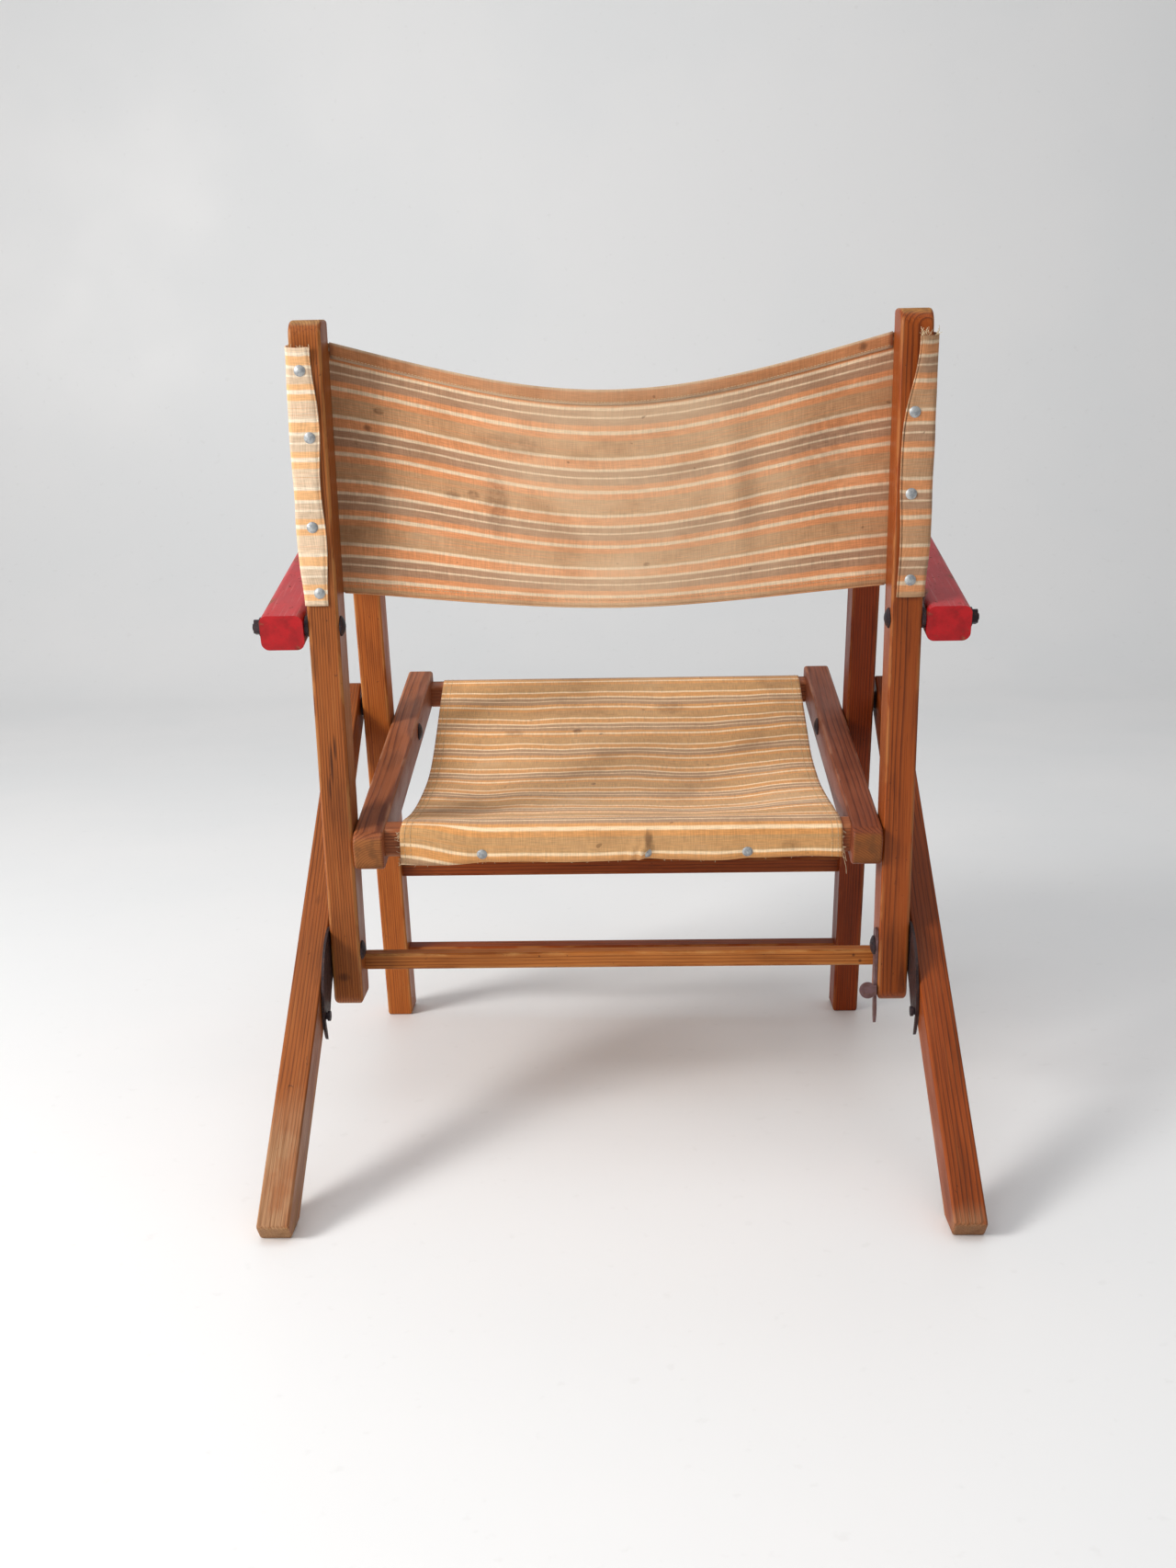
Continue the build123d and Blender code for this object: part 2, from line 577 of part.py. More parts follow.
# The pin leaves the mouth forwards and down: flatter when the hook swings, steeper in folding.
mouth_low = (HOOK_PIN[0] - MOUTH_REACH * cos(radians(24)), HOOK_PIN[1] - MOUTH_REACH * sin(radians(24)))
mouth_steep = (HOOK_PIN[0] - MOUTH_REACH * cos(radians(72)), HOOK_PIN[1] - MOUTH_REACH * sin(radians(72)))
mouth = rod(HOOK_PIN, MOUTH_R, PLATE_X - 5, PLATE_X + 5)
wall = MOUTH_R
mouth_outline = [
    (HOOK_PIN[0] - wall * sin(radians(24)), HOOK_PIN[1] + wall * cos(radians(24))),
    (mouth_low[0] - wall * sin(radians(24)), mouth_low[1] + wall * cos(radians(24))),
    (mouth_steep[0] + wall * sin(radians(72)), mouth_steep[1] - wall * cos(radians(72))),
    (HOOK_PIN[0] + wall * sin(radians(72)), HOOK_PIN[1] - wall * cos(radians(72))),
]
mouth += prism(mouth_outline, PLATE_X - 5, PLATE_X + 5)
hook -= mouth
add_pair("hook_plate", hook)

# The hook's bolt: its head is inside the post, and its far end is riveted flush with the plate.
HOOK_BOLT_END = PLATE_X + PLATE / 2 + 0.3
left_bolt = domed(HOOK_BOLT, POST_IN, HOOK_BOLT_END, -1)
LEVER = 2.5
LEVER_X = -(POST_IN - 0.4 - LEVER)  # the lever hangs inside the right post only
right_bolt = mirrored(domed(HOOK_BOLT, POST_IN - 0.8 - LEVER, HOOK_BOLT_END, -1))
add("hook_bolt_left", left_bolt)
add("hook_bolt_right", right_bolt)

# ---------------------------------------------------------------- thumb lever, right post only
LEVER_OUTLINE = (
    (7.5, 8), (4.5, 16), (-3, 17.5), (-8, 10), (-8, -4), (-6.5, -25), (-5.5, -52), (-6.5, -67),
    (-1, -79), (4.5, -67), (4, -45), (5.5, -25), (7.5, -5),
)
lever = extrude(Pos(LEVER_X - LEVER, 0, 0) * plate_face(LEVER_OUTLINE), LEVER, dir=(1, 0, 0))
lever -= rod(HOOK_BOLT, PIN_R + RUN, LEVER_X - 6, LEVER_X + 4)
TAB_R = 8.0
tab_y, tab_z = about_bolt(-6.5, -44)
tab = Pos(LEVER_X + 6.5, tab_y, tab_z) * Rot(90, 0, 0) * Cylinder(TAB_R, LEVER)
tab += Pos(LEVER_X + 1.0, tab_y, tab_z) * Box(6.0, LEVER, 11.0)
lever += tab - rod((tab_y, tab_z), 30, LEVER_X - 20, LEVER_X - LEVER)
add("thumb_lever_right", lever)

for name, part in nodes.items():
    export_step(part, f"parts/{name}.step")

box = Compound(children=[s for part in nodes.values() for s in part.solids()]).bounding_box()
print("box", box.min, box.max)
for name, point in (
    ("seat_front", SEAT_FRONT),
    ("seat_rear", SEAT_REAR),
    ("arm_front", ARM_FRONT),
    ("arm_rear", ARM_REAR),
    ("rear_pivot", REAR_PIVOT),
    ("hook_bolt", HOOK_BOLT),
    ("hook_pin", HOOK_PIN),
):
    print(name, [round(v, 2) for v in point])
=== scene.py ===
"""Looks for the folding deck chair: pine, red paint, striped canvas, rusty steel and zinc tacks.

Lengths are in metres and side-view points are (y, z). The frame's joints place the middle line of
each bar, and the cloth is laid on those lines.
"""

import json
import math
import random

import bpy
from mathutils import Matrix, Vector, noise


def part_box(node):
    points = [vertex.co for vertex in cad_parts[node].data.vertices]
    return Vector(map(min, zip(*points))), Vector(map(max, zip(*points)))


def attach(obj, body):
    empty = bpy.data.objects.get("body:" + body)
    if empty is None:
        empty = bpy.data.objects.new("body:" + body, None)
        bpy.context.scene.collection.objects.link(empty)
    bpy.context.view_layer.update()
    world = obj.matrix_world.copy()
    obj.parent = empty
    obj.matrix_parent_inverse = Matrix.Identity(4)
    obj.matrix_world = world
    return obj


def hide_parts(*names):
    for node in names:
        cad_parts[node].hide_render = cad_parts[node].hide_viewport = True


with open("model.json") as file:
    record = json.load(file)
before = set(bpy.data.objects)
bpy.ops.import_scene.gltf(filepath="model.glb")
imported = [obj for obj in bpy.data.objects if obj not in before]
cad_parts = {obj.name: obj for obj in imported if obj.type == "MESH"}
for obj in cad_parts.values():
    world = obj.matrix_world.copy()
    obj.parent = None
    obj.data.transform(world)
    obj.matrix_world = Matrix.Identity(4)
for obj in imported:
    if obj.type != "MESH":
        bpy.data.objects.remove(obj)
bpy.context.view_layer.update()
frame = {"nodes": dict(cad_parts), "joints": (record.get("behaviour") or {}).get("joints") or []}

MM = 0.001


# ---------------------------------------------------------------- side-view directions
def joint_point(name):
    place = next(j["pos_m"] for j in frame["joints"] if j["name"] == name)
    return Vector((place[1], place[2]))


SEAT_FRONT = joint_point("fold")
SEAT_REAR = joint_point("back_hinge")
ARM_FRONT = joint_point("armrest_left_hinge")
REAR_PIVOT = joint_point("rear_leg_left_hinge")
ARM_REAR = SEAT_REAR + ARM_FRONT - SEAT_FRONT


class Way:
    """A bar's side-view directions: s runs along it and t across it."""

    def __init__(self, start, direction):
        self.start = start
        self.u = direction
        self.v = Vector((-direction[1], direction[0]))

    def at(self, s, t=0.0):
        return self.start + s * self.u + t * self.v


def rising(degrees):
    return Vector((math.sin(math.radians(degrees)), math.cos(math.radians(degrees))))


def falling(degrees):
    return Vector((math.cos(math.radians(degrees)), -math.sin(math.radians(degrees))))


# Degrees from upright, and degrees below level towards the back
FRONT_LEAN, POST_LEAN = 11.5, 4.2
RAIL_FALL, ARM_FALL, REAR_FALL = 12.2, 14.3, 38.4
FRONT_WAY = Way((SEAT_FRONT + ARM_FRONT) / 2, rising(FRONT_LEAN))
POST_WAY = Way((SEAT_REAR + ARM_REAR) / 2, rising(POST_LEAN))
RAIL_WAY = Way((SEAT_FRONT + SEAT_REAR) / 2, falling(RAIL_FALL))
ARM_WAY = Way((ARM_FRONT + ARM_REAR) / 2, falling(ARM_FALL))
REAR_WAY = Way(REAR_PIVOT, falling(REAR_FALL))

HALF_W = 14.3 * MM  # half of a bar across the chair
HALF_D = 19.0 * MM  # half of a bar in side view
ARM_HALF_H, ARM_HALF_W = 16.75 * MM, 20.0 * MM
POST_X = 265.0 * MM
POST_IN = POST_X - HALF_W
POST_OUT = POST_X + HALF_W


def smooth(a, b, x):
    k = min(1.0, max(0.0, (x - a) / (b - a)))
    return k * k * (3 - 2 * k)


def bell(x, middle, width):
    return math.exp(-(((x - middle) / width) ** 2))


# ---------------------------------------------------------------- node graphs
def rgb(text):
    """A display colour such as "aa6633" as linear RGBA."""
    out = []
    for k in (0, 2, 4):
        c = int(text[k : k + 2], 16) / 255
        out.append(c / 12.92 if c <= 0.04045 else ((c + 0.055) / 1.055) ** 2.4)
    return (*out, 1.0)


class Graph:
    """A material and short calls that add nodes to it."""

    def __init__(self, name):
        self.material = bpy.data.materials.new(name)
        self.material.use_nodes = True
        self.tree = self.material.node_tree
        self.tree.nodes.clear()

    def feed(self, socket, value):
        if isinstance(value, bpy.types.NodeSocket):
            self.tree.links.new(value, socket)
        else:
            socket.default_value = value

    def node(self, kind, inputs, out=0, **settings):
        made = self.tree.nodes.new("ShaderNode" + kind)
        for key, value in settings.items():
            setattr(made, key, value)
        for key, value in inputs.items():
            self.feed(made.inputs[key], value)
        return made.outputs[out]

    def math(self, operation, a, b=0.0):
        return self.node("Math", {0: a, 1: b}, operation=operation)

    def plus(self, a, b):
        return self.math("ADD", a, b)

    def minus(self, a, b):
        return self.math("SUBTRACT", a, b)

    def times(self, a, b):
        return self.math("MULTIPLY", a, b)

    def larger(self, a, b):
        return self.math("MAXIMUM", a, b)

    def off_zero(self, a):
        return self.math("ABSOLUTE", a)

    def dot(self, vector, direction):
        return self.node("VectorMath", {0: vector, 1: direction}, out="Value", operation="DOT_PRODUCT")

    def join(self, x, y, z):
        return self.node("CombineXYZ", {0: x, 1: y, 2: z})

    def scaled(self, parts, factors):
        """Each of three values times its own factor, as a vector."""
        return self.join(*(self.times(part, factor) for part, factor in zip(parts, factors)))

    def cloth_scaled(self, u, v, along_u, along_v, seed):
        return self.join(self.times(u, along_u), self.times(v, along_v), seed)

    def moved(self, vector, by):
        return self.node("VectorMath", {0: vector, 1: by}, operation="ADD")

    def noise(self, vector, scale, detail=2.0, rough=0.5):
        values = {"Vector": vector, "Scale": scale, "Detail": detail, "Roughness": rough}
        return self.node("TexNoise", values)

    def span(self, value, low, high, to_low=0.0, to_high=1.0):
        """value from low..high to to_low..to_high, held at the ends."""
        limits = {0: value, 1: low, 2: high, 3: to_low, 4: to_high}
        return self.node("MapRange", limits, interpolation_type="SMOOTHSTEP")

    def mix(self, share, a, b, blend="MIX"):
        return self.node("Mix", {0: share, 6: a, 7: b}, out=2, data_type="RGBA", blend_type=blend)

    def ramp(self, value, stops):
        made = self.tree.nodes.new("ShaderNodeValToRGB")
        self.feed(made.inputs[0], value)
        elements = made.color_ramp.elements
        while len(elements) < len(stops):
            elements.new(0.5)
        for element, (place, colour) in zip(elements, stops):
            element.position = place
            element.color = colour
        return made.outputs[0]

    def bump(self, height, distance, strength=1.0, normal=None):
        values = {"Height": height, "Distance": distance, "Strength": strength}
        if normal is not None:
            values["Normal"] = normal
        return self.node("Bump", values)

    def finish(self, colour, rough, normal, **constants):
        values = {"Base Color": colour, "Roughness": rough, "Normal": normal}
        values.update({key.replace("_", " "): value for key, value in constants.items()})
        shader = self.node("BsdfPrincipled", values)
        end = self.tree.nodes.new("ShaderNodeOutputMaterial")
        self.feed(end.inputs[0], shader)
        return self.material


def spot(g, a, b, c, place, size):
    """1 inside an ellipsoid about place in a bar's own (a, b, c), falling to 0 at its surface."""
    total = None
    for value, middle, half in zip((a, b, c), place, size):
        off = g.math("DIVIDE", g.minus(value, middle), half)
        square = g.times(off, off)
        total = square if total is None else g.plus(total, square)
    return g.span(total, 1.0, 0.0)


# ---------------------------------------------------------------- wood
# Tones of the wood. post_shade, deep_shade, shade and the umber tone are darker copies of pine and deep:
# painted shade for the right-hand parts, which are away from the key light, and for the front stretchers.
WOODS = {
    "pine": dict(light="9c5522", dark="50240b", end="b28250", worn="bd854b", rough=0.36),
    "post_shade": dict(light="964716", dark="4a1c07", end="b0793f", worn="b0743f", rough=0.36),
    "deep": dict(light="9c5832", dark="572816", end="965c2f", worn="bb8765", rough=0.42),
    "deep_shade": dict(light="8a4628", dark="4a1f10", end="895026", worn="a8755a", rough=0.42),
    "amber": dict(light="ac5c20", dark="652d0b", end="a0713f", worn="c0864a", rough=0.38),
    "honey": dict(light="ae672c", dark="6e3509", end="a8794f", worn="c58f54", rough=0.40),
    "shade": dict(light="92410e", dark="461b03", end="8f5c36", worn="b5763f", rough=0.38),
    "umber_shade": dict(light="8e3604", dark="3a1000", end="7a4526", worn="9c5a2d", rough=0.38),
}
# The dark late wood within one ring, as (share of the ring, how dark)
LATE_WOOD = ((0.0, 0.0), (0.52, 0.10), (0.84, 1.0), (0.94, 0.03))


def bar_frame(g, middle, along, across, position):
    """A bar's own coordinates: a down its length, b across it in side view, c across the chair."""
    out_of = along.cross(across)
    local = g.node("VectorMath", {0: position, 1: middle}, operation="SUBTRACT")
    return [g.dot(local, d) for d in (along, across, out_of)]


DENT_DIRT, MARK_DIRT, END_DIRT = "2c150b", "2e150a", "5e3c22"
BARE_LIGHT, BARE_MID, BARE_DARK = "b58c68", "8a6241", "6e4a2e"


def edge_distance(g, b, c, half_across, half_out):
    """The distance of a bar's side from its nearest long edge."""
    from_b = g.minus(half_across, g.off_zero(b))
    from_c = g.minus(half_out, g.off_zero(c))
    return g.larger(from_b, from_c)


def wood(name, middle, along, across, half_across, half_out, tone, seed, ring=3.1, marks=(), foot=None):
    """Straight-grained pine with rings every ring mm. marks are dark (place, size, strength) spots in
    the bar's own frame, and foot is (where a pale worn end starts, where it is full, how ragged, how
    pale), both places down the bar."""
    kind = WOODS[tone]
    g = Graph(name)
    where = g.node("TexCoord", {}, out="Object")
    normal = g.node("TexCoord", {}, out="Normal")
    a, b, c = bar_frame(g, middle, along, across, where)

    # Rings about a pith outside the bar, bent a little along its length
    slow = g.scaled((a, b, c), (3.2, 14.0, 14.0))
    slow = g.moved(slow, (seed * 3.7, seed * 1.3, seed * 5.1))
    drift = g.noise(slow, 1.0, 2.0)
    pith_b = 0.030 + 0.012 * math.sin(seed * 2.3)
    pith_c = 0.034 * math.cos(seed * 1.9)
    rb = g.plus(b, pith_b)
    rc = g.plus(c, pith_c)
    radius = g.math("SQRT", g.plus(g.times(rb, rb), g.times(rc, rc)))
    radius = g.plus(radius, g.times(drift, 0.0065))
    phase = g.math("FRACT", g.math("DIVIDE", radius, ring * MM))
    late = g.ramp(phase, [(place, (dark, dark, dark, 1)) for place, dark in LATE_WOOD])

    # Fibres: long thin streaks
    fibre_at = g.scaled((a, b, c), (14.0, 900.0, 900.0))
    fibre = g.noise(fibre_at, 1.0, 3.0, 0.65)
    blotch_at = g.scaled((a, b, c), (9.0, 30.0, 30.0))
    blotch_at = g.moved(blotch_at, (seed * 2.1, seed, -seed))
    blotch = g.noise(blotch_at, 1.0, 3.0, 0.6)

    grain = g.times(late, g.span(blotch, 0.30, 0.66, 0.48, 0.95))
    colour = g.mix(grain, rgb(kind["light"]), rgb(kind["dark"]))
    colour = g.mix(g.span(fibre, 0.50, 0.70, 0.0, 0.55), colour, rgb(kind["dark"]))
    colour = g.mix(g.span(fibre, 0.46, 0.26, 0.0, 0.20), colour, rgb(kind["worn"]))
    colour = g.mix(g.span(blotch, 0.52, 0.76, 0.0, 0.36), colour, rgb(kind["dark"]))
    broad = g.noise(g.join(g.times(a, 5.0), seed * 1.9, g.times(c, 12.0)), 1.0, 2.0)
    colour = g.mix(g.span(broad, 0.44, 0.70, 0.0, 0.30), colour, rgb(kind["dark"]))

    # Rubbed arrises
    edge = edge_distance(g, b, c, half_across, half_out)
    rub = g.noise(g.scaled((a, b, c), (22.0, 90.0, 90.0)), 1.0, 4.0, 0.6)
    edge_worn = g.times(g.span(edge, 0.0042, 0.0008), g.span(rub, 0.42, 0.60))
    colour = g.mix(g.times(edge_worn, 0.50), colour, rgb(kind["worn"]))

    # Small dents and dirt
    dirt = g.noise(g.moved(where, (seed, seed, seed)), 150.0, 3.0, 0.7)
    dents = g.span(dirt, 0.66, 0.76)
    colour = g.mix(g.times(dents, 0.55), colour, rgb(DENT_DIRT))
    for place, size, strength in marks:
        mark = g.times(spot(g, a, b, c, place, size), g.span(fibre, 0.25, 0.60, 0.45, 1.0))
        colour = g.mix(g.times(mark, strength), colour, rgb(MARK_DIRT))

    # Sawn ends
    facing = g.off_zero(g.dot(normal, along))
    end = g.span(facing, 0.62, 0.88)
    end_tone = g.mix(g.times(late, 0.55), rgb(kind["end"]), rgb(kind["dark"]))
    end_tone = g.mix(g.span(rub, 0.40, 0.66, 0.0, 0.55), end_tone, rgb(END_DIRT))
    colour = g.mix(end, colour, end_tone)
    rough = g.span(blotch, 0.3, 0.7, kind["rough"], kind["rough"] + 0.20)
    if foot:
        start, full, ragged, paleness = foot
        smudge = g.noise(g.scaled((a, b, c), (24.0, 42.0, 42.0)), 1.0, 3.0)
        scuff = g.plus(a, g.times(g.minus(smudge, 0.5), ragged))
        pale = g.times(g.span(scuff, start, full), g.span(smudge, 0.62, 0.40, 0.45, 1.0))
        bare = g.mix(g.span(fibre, 0.35, 0.68), rgb(BARE_LIGHT), rgb(BARE_MID))
        bare = g.mix(g.times(late, 0.25), bare, rgb(BARE_DARK))
        colour = g.mix(g.times(pale, paleness), colour, bare)
        rough = g.larger(rough, g.times(pale, 0.78))
    rough = g.larger(rough, g.times(end, 0.72))
    rough = g.larger(rough, g.times(edge_worn, 0.60))

    height = g.plus(g.times(fibre, 0.35), g.times(late, 0.35))
    height = g.minus(height, g.times(dents, 0.9))
    relief = g.bump(height, 0.00035, 0.75)
    gloss = dict(Specular_IOR_Level=0.20, Coat_Weight=0.06, Coat_Roughness=0.28)
    return g.finish(colour, rough, relief, **gloss)


PAINT_LIGHT, PAINT_DARK, PAINT_STREAK = "b40f17", "8c090f", "7a0c15"
PAINT_WASHED, PAINT_CHALKY = "b9565a", "c97f7b"
UNDER_LIGHT, UNDER_DARK = "8d5a3a", "5d3322"


def red_paint(name, middle, along, across, half_across, half_out, seed):
    """Gloss paint, washed out and scratched on top, chipped to the wood along the edges."""
    g = Graph(name)
    where = g.node("TexCoord", {}, out="Object")
    normal = g.node("TexCoord", {}, out="Normal")
    a, b, c = bar_frame(g, middle, along, across, where)
    coarse = g.noise(g.scaled((a, b, c), (26.0, 60.0, 60.0)), 1.0, 4.0, 0.62)
    streak = g.noise(g.scaled((a, b, c), (16.0, 420.0, 420.0)), 1.0, 3.0, 0.6)
    shifted = g.moved(where, (seed, 0.0, seed))
    fine = g.noise(shifted, 210.0, 3.0, 0.7)
    colour = g.mix(g.span(coarse, 0.35, 0.68), rgb(PAINT_LIGHT), rgb(PAINT_DARK))
    colour = g.mix(g.span(streak, 0.50, 0.75, 0.0, 0.35), colour, rgb(PAINT_STREAK))
    up = g.span(g.dot(normal, across), 0.35, 0.9)
    washed = g.times(up, g.span(coarse, 0.30, 0.62, 0.35, 0.95))
    colour = g.mix(g.times(washed, 0.56), colour, rgb(PAINT_WASHED))
    colour = g.mix(g.times(up, g.span(streak, 0.55, 0.72, 0.0, 0.42)), colour, rgb(PAINT_CHALKY))
    edge = edge_distance(g, b, c, half_across, half_out)
    rubbed = g.times(g.span(edge, 0.0095, 0.0040), g.span(coarse, 0.54, 0.60))
    specks = g.times(g.span(fine, 0.655, 0.675), g.plus(0.35, g.times(up, 0.65)))
    chips = g.larger(g.times(rubbed, 0.85), specks)
    under = g.mix(g.span(fine, 0.4, 0.6), rgb(UNDER_LIGHT), rgb(UNDER_DARK))
    colour = g.mix(chips, colour, under)
    rough = g.plus(0.30, g.times(washed, 0.26))
    rough = g.larger(rough, g.times(chips, 0.75))
    height = g.minus(g.times(streak, 0.25), g.times(chips, 0.8))
    height = g.plus(height, g.times(coarse, 0.5))
    gloss = dict(Specular_IOR_Level=0.24, Coat_Weight=0.07, Coat_Roughness=0.22)
    return g.finish(colour, rough, g.bump(height, 0.0003, 0.8), **gloss)


# ---------------------------------------------------------------- metals
def metal(name, base, patch, spots, metallic, rough, scale=95.0):
    """Worn metal: a base colour with broad patches and small rust spots."""
    g = Graph(name)
    where = g.node("TexCoord", {}, out="Object")
    broad = g.noise(where, scale, 4.0, 0.65)
    fine = g.noise(where, scale * 7, 3.0, 0.7)
    colour = g.mix(g.span(broad, 0.40, 0.62), rgb(base), rgb(patch))
    colour = g.mix(g.span(fine, 0.56, 0.68, 0.0, 0.8), colour, rgb(spots))
    roughness = g.span(broad, 0.35, 0.65, rough, rough + 0.22)
    height = g.plus(g.times(broad, 0.6), g.times(fine, 0.4))
    return g.finish(colour, roughness, g.bump(height, 0.00028, 0.8), Metallic=metallic)


# ---------------------------------------------------------------- canvas
REPEAT = 59.0 * MM
WEAVE = 1.05 * MM  # two yarns of the plain weave
CREAM, ORANGE, TAN, GREY = "cream", "orange", "tan", "grey"
# Display colours of the bands: where the cloth has faded, and where it has stayed new
FADED = {CREAM: "e6caa8", ORANGE: "d9905f", TAN: "bd9169", GREY: "ac8365"}
FRESH = {CREAM: "f4e2c8", ORANGE: "f0b982", TAN: "e6cbac", GREY: "dbc0a2"}
BANDS = (  # (where it starts, as a share of the repeat, its tone)
    (0.000, CREAM),
    (0.030, ORANGE),
    (0.130, TAN),
    (0.400, CREAM),
    (0.450, ORANGE),
    (0.595, CREAM),
    (0.642, GREY),
    (0.742, CREAM),
    (0.768, GREY),
    (0.880, ORANGE),
    (0.968, CREAM),
)
# Ageing colours. The bleached colour also paints the highlight on the middle of the cloth, and the soil
# colour also paints shade.
GRIME, BLEACH_AND_HIGHLIGHT, SOIL_AND_SHADE, SPECK, STAIN = "85603f", "e4c6a2", "7d5230", "5b3a26", "4a2a1c"
SOFT = 0.011  # how far one band runs into the next, as a share of the repeat


def band_stops(tones):
    stops = []
    for i, (start, tone) in enumerate(BANDS):
        end = BANDS[i + 1][0] if i + 1 < len(BANDS) else 1.0
        stops += [(start + (SOFT if i else 0.0), rgb(tones[tone])), (end - SOFT, rgb(tones[tone]))]
    return stops


def canvas(name, first_cream, down, spots, seed, faded=FADED, lit_middle=0.0):
    """Woven stripes from the UVs: u across the chair and v across the stripes, in metres. down is 1
    where the order of the bands runs with v, or -1 against it. spots are (u, v, size u, size v, strength),
    and lit_middle is how much a painted highlight lightens the middle of the cloth."""
    g = Graph(name)
    uv = g.node("UVMap", {}, uv_map="UVMap")
    parts = g.tree.nodes.new("ShaderNodeSeparateXYZ")
    g.feed(parts.inputs[0], uv)
    u, v = parts.outputs[0], parts.outputs[1]
    fresh = g.node("Attribute", {}, out="Fac", attribute_name="fresh")
    soil_and_shade = g.node("Attribute", {}, out="Fac", attribute_name="soil_and_shade")

    # The bands waver by a thread or so
    waver = g.noise(g.cloth_scaled(u, v, 55.0, 40.0, seed), 1.0, 2.0)
    wander = g.times(g.minus(waver, 0.5), 0.0011)
    across = g.plus(g.times(g.minus(v, first_cream), down), wander)
    phase = g.math("FRACT", g.plus(g.math("DIVIDE", across, REPEAT), 40.0))
    colour = g.mix(fresh, g.ramp(phase, band_stops(faded)), g.ramp(phase, band_stops(FRESH)))

    # Single orange picks in the wide tan band
    pick = g.noise(g.cloth_scaled(u, v, 3.0, 1150.0, seed), 1.0, 0.0)
    in_tan = g.times(g.span(phase, 0.16, 0.20), g.span(phase, 0.38, 0.34))
    colour = g.mix(g.times(in_tan, g.span(pick, 0.50, 0.68, 0.0, 0.50)), colour, rgb(faded[ORANGE]))

    # Yarns: slubs along each direction and the plain weave
    weft = g.noise(g.cloth_scaled(u, v, 70.0, 1500.0, seed), 1.0, 2.0, 0.6)
    warp = g.noise(g.cloth_scaled(u, v, 1250.0, 60.0, seed + 4.0), 1.0, 2.0, 0.6)
    shade = g.plus(g.span(weft, 0.30, 0.70, -0.15, 0.13), g.span(warp, 0.30, 0.70, -0.13, 0.12))
    turn = 2 * math.pi / WEAVE
    over = g.times(g.math("SINE", g.times(u, turn)), g.math("SINE", g.times(v, turn)))
    shade = g.plus(shade, g.times(over, 0.05))
    value = g.plus(shade, 1.0)
    colour = g.mix(1.0, colour, g.join(value, value, value), "MULTIPLY")

    # Ageing and painted light: broad grime, water marks, and single spots; the bleaching also paints a
    # highlight on the middle, and the soil colour, from the mesh, paints shade as well as soil
    cloudy = g.noise(g.cloth_scaled(u, v, 9.0, 13.0, seed), 1.0, 4.0, 0.6)
    grime = g.times(g.span(cloudy, 0.50, 0.74), g.minus(1.0, g.times(fresh, 0.7)))
    colour = g.mix(g.times(grime, 0.45), colour, rgb(GRIME))
    bleach_and_highlight = g.times(g.span(cloudy, 0.46, 0.26), 0.22)
    # Painted highlight: the middle of the cloth is lightened towards the bleached colour, by lit_middle.
    middle = g.span(g.off_zero(g.minus(u, 0.015)), 0.19, 0.03, 0.0, lit_middle)
    bleach_and_highlight = g.plus(bleach_and_highlight, g.times(middle, g.span(cloudy, 0.66, 0.40, 0.45, 1.0)))
    colour = g.mix(bleach_and_highlight, colour, rgb(BLEACH_AND_HIGHLIGHT))
    # Soil and painted shade, as much as the mesh's per-point attribute gives.
    colour = g.mix(g.times(soil_and_shade, 0.60), colour, rgb(SOIL_AND_SHADE))
    speck_at = g.cloth_scaled(u, v, 85.0, 85.0, seed)
    specks = g.span(g.noise(speck_at, 1.0, 1.0), 0.765, 0.80)
    colour = g.mix(g.times(specks, 0.45), colour, rgb(SPECK))
    ragged = g.noise(g.cloth_scaled(u, v, 150.0, 150.0, seed), 1.0, 3.0)
    for su, sv, wu, wv, strength in spots:
        mark = spot(g, u, v, 0.0, (su, sv, 0.0), (wu, wv, 1.0))
        mark = g.times(mark, g.span(ragged, 0.30, 0.62, 0.35, 1.0))
        colour = g.mix(g.times(mark, strength), colour, rgb(STAIN))

    height = g.plus(g.times(over, 0.5), g.plus(g.times(weft, 0.6), g.times(warp, 0.6)))
    relief = g.bump(height, 0.00030, 0.55)
    slack = g.noise(g.cloth_scaled(u, v, 60.0, 90.0, seed + 9.0), 1.0, 3.0)
    relief = g.bump(slack, 0.0012, 0.35, relief)
    rough = g.span(cloudy, 0.3, 0.7, 0.84, 0.93)
    nap = dict(Specular_IOR_Level=0.16, Sheen_Weight=0.12, Sheen_Roughness=0.55)
    return g.finish(colour, rough, relief, **nap)


# ---------------------------------------------------------------- materials on the CAD nodes
def dress(node, material):
    mesh = frame["nodes"][node].data
    mesh.materials.clear()
    mesh.materials.append(material)
    for face in mesh.polygons:
        face.material_index = 0


def side_vector(two):
    return Vector((0.0, two[0], two[1]))


def middle_of(node):
    low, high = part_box(node)
    return (low + high) / 2


X = Vector((1.0, 0.0, 0.0))
BARS = (
    ("front_leg", FRONT_WAY, "pine"),
    ("rear_leg", REAR_WAY, "pine"),
    ("back_post", POST_WAY, "pine"),
    ("seat_rail", RAIL_WAY, "deep"),
)
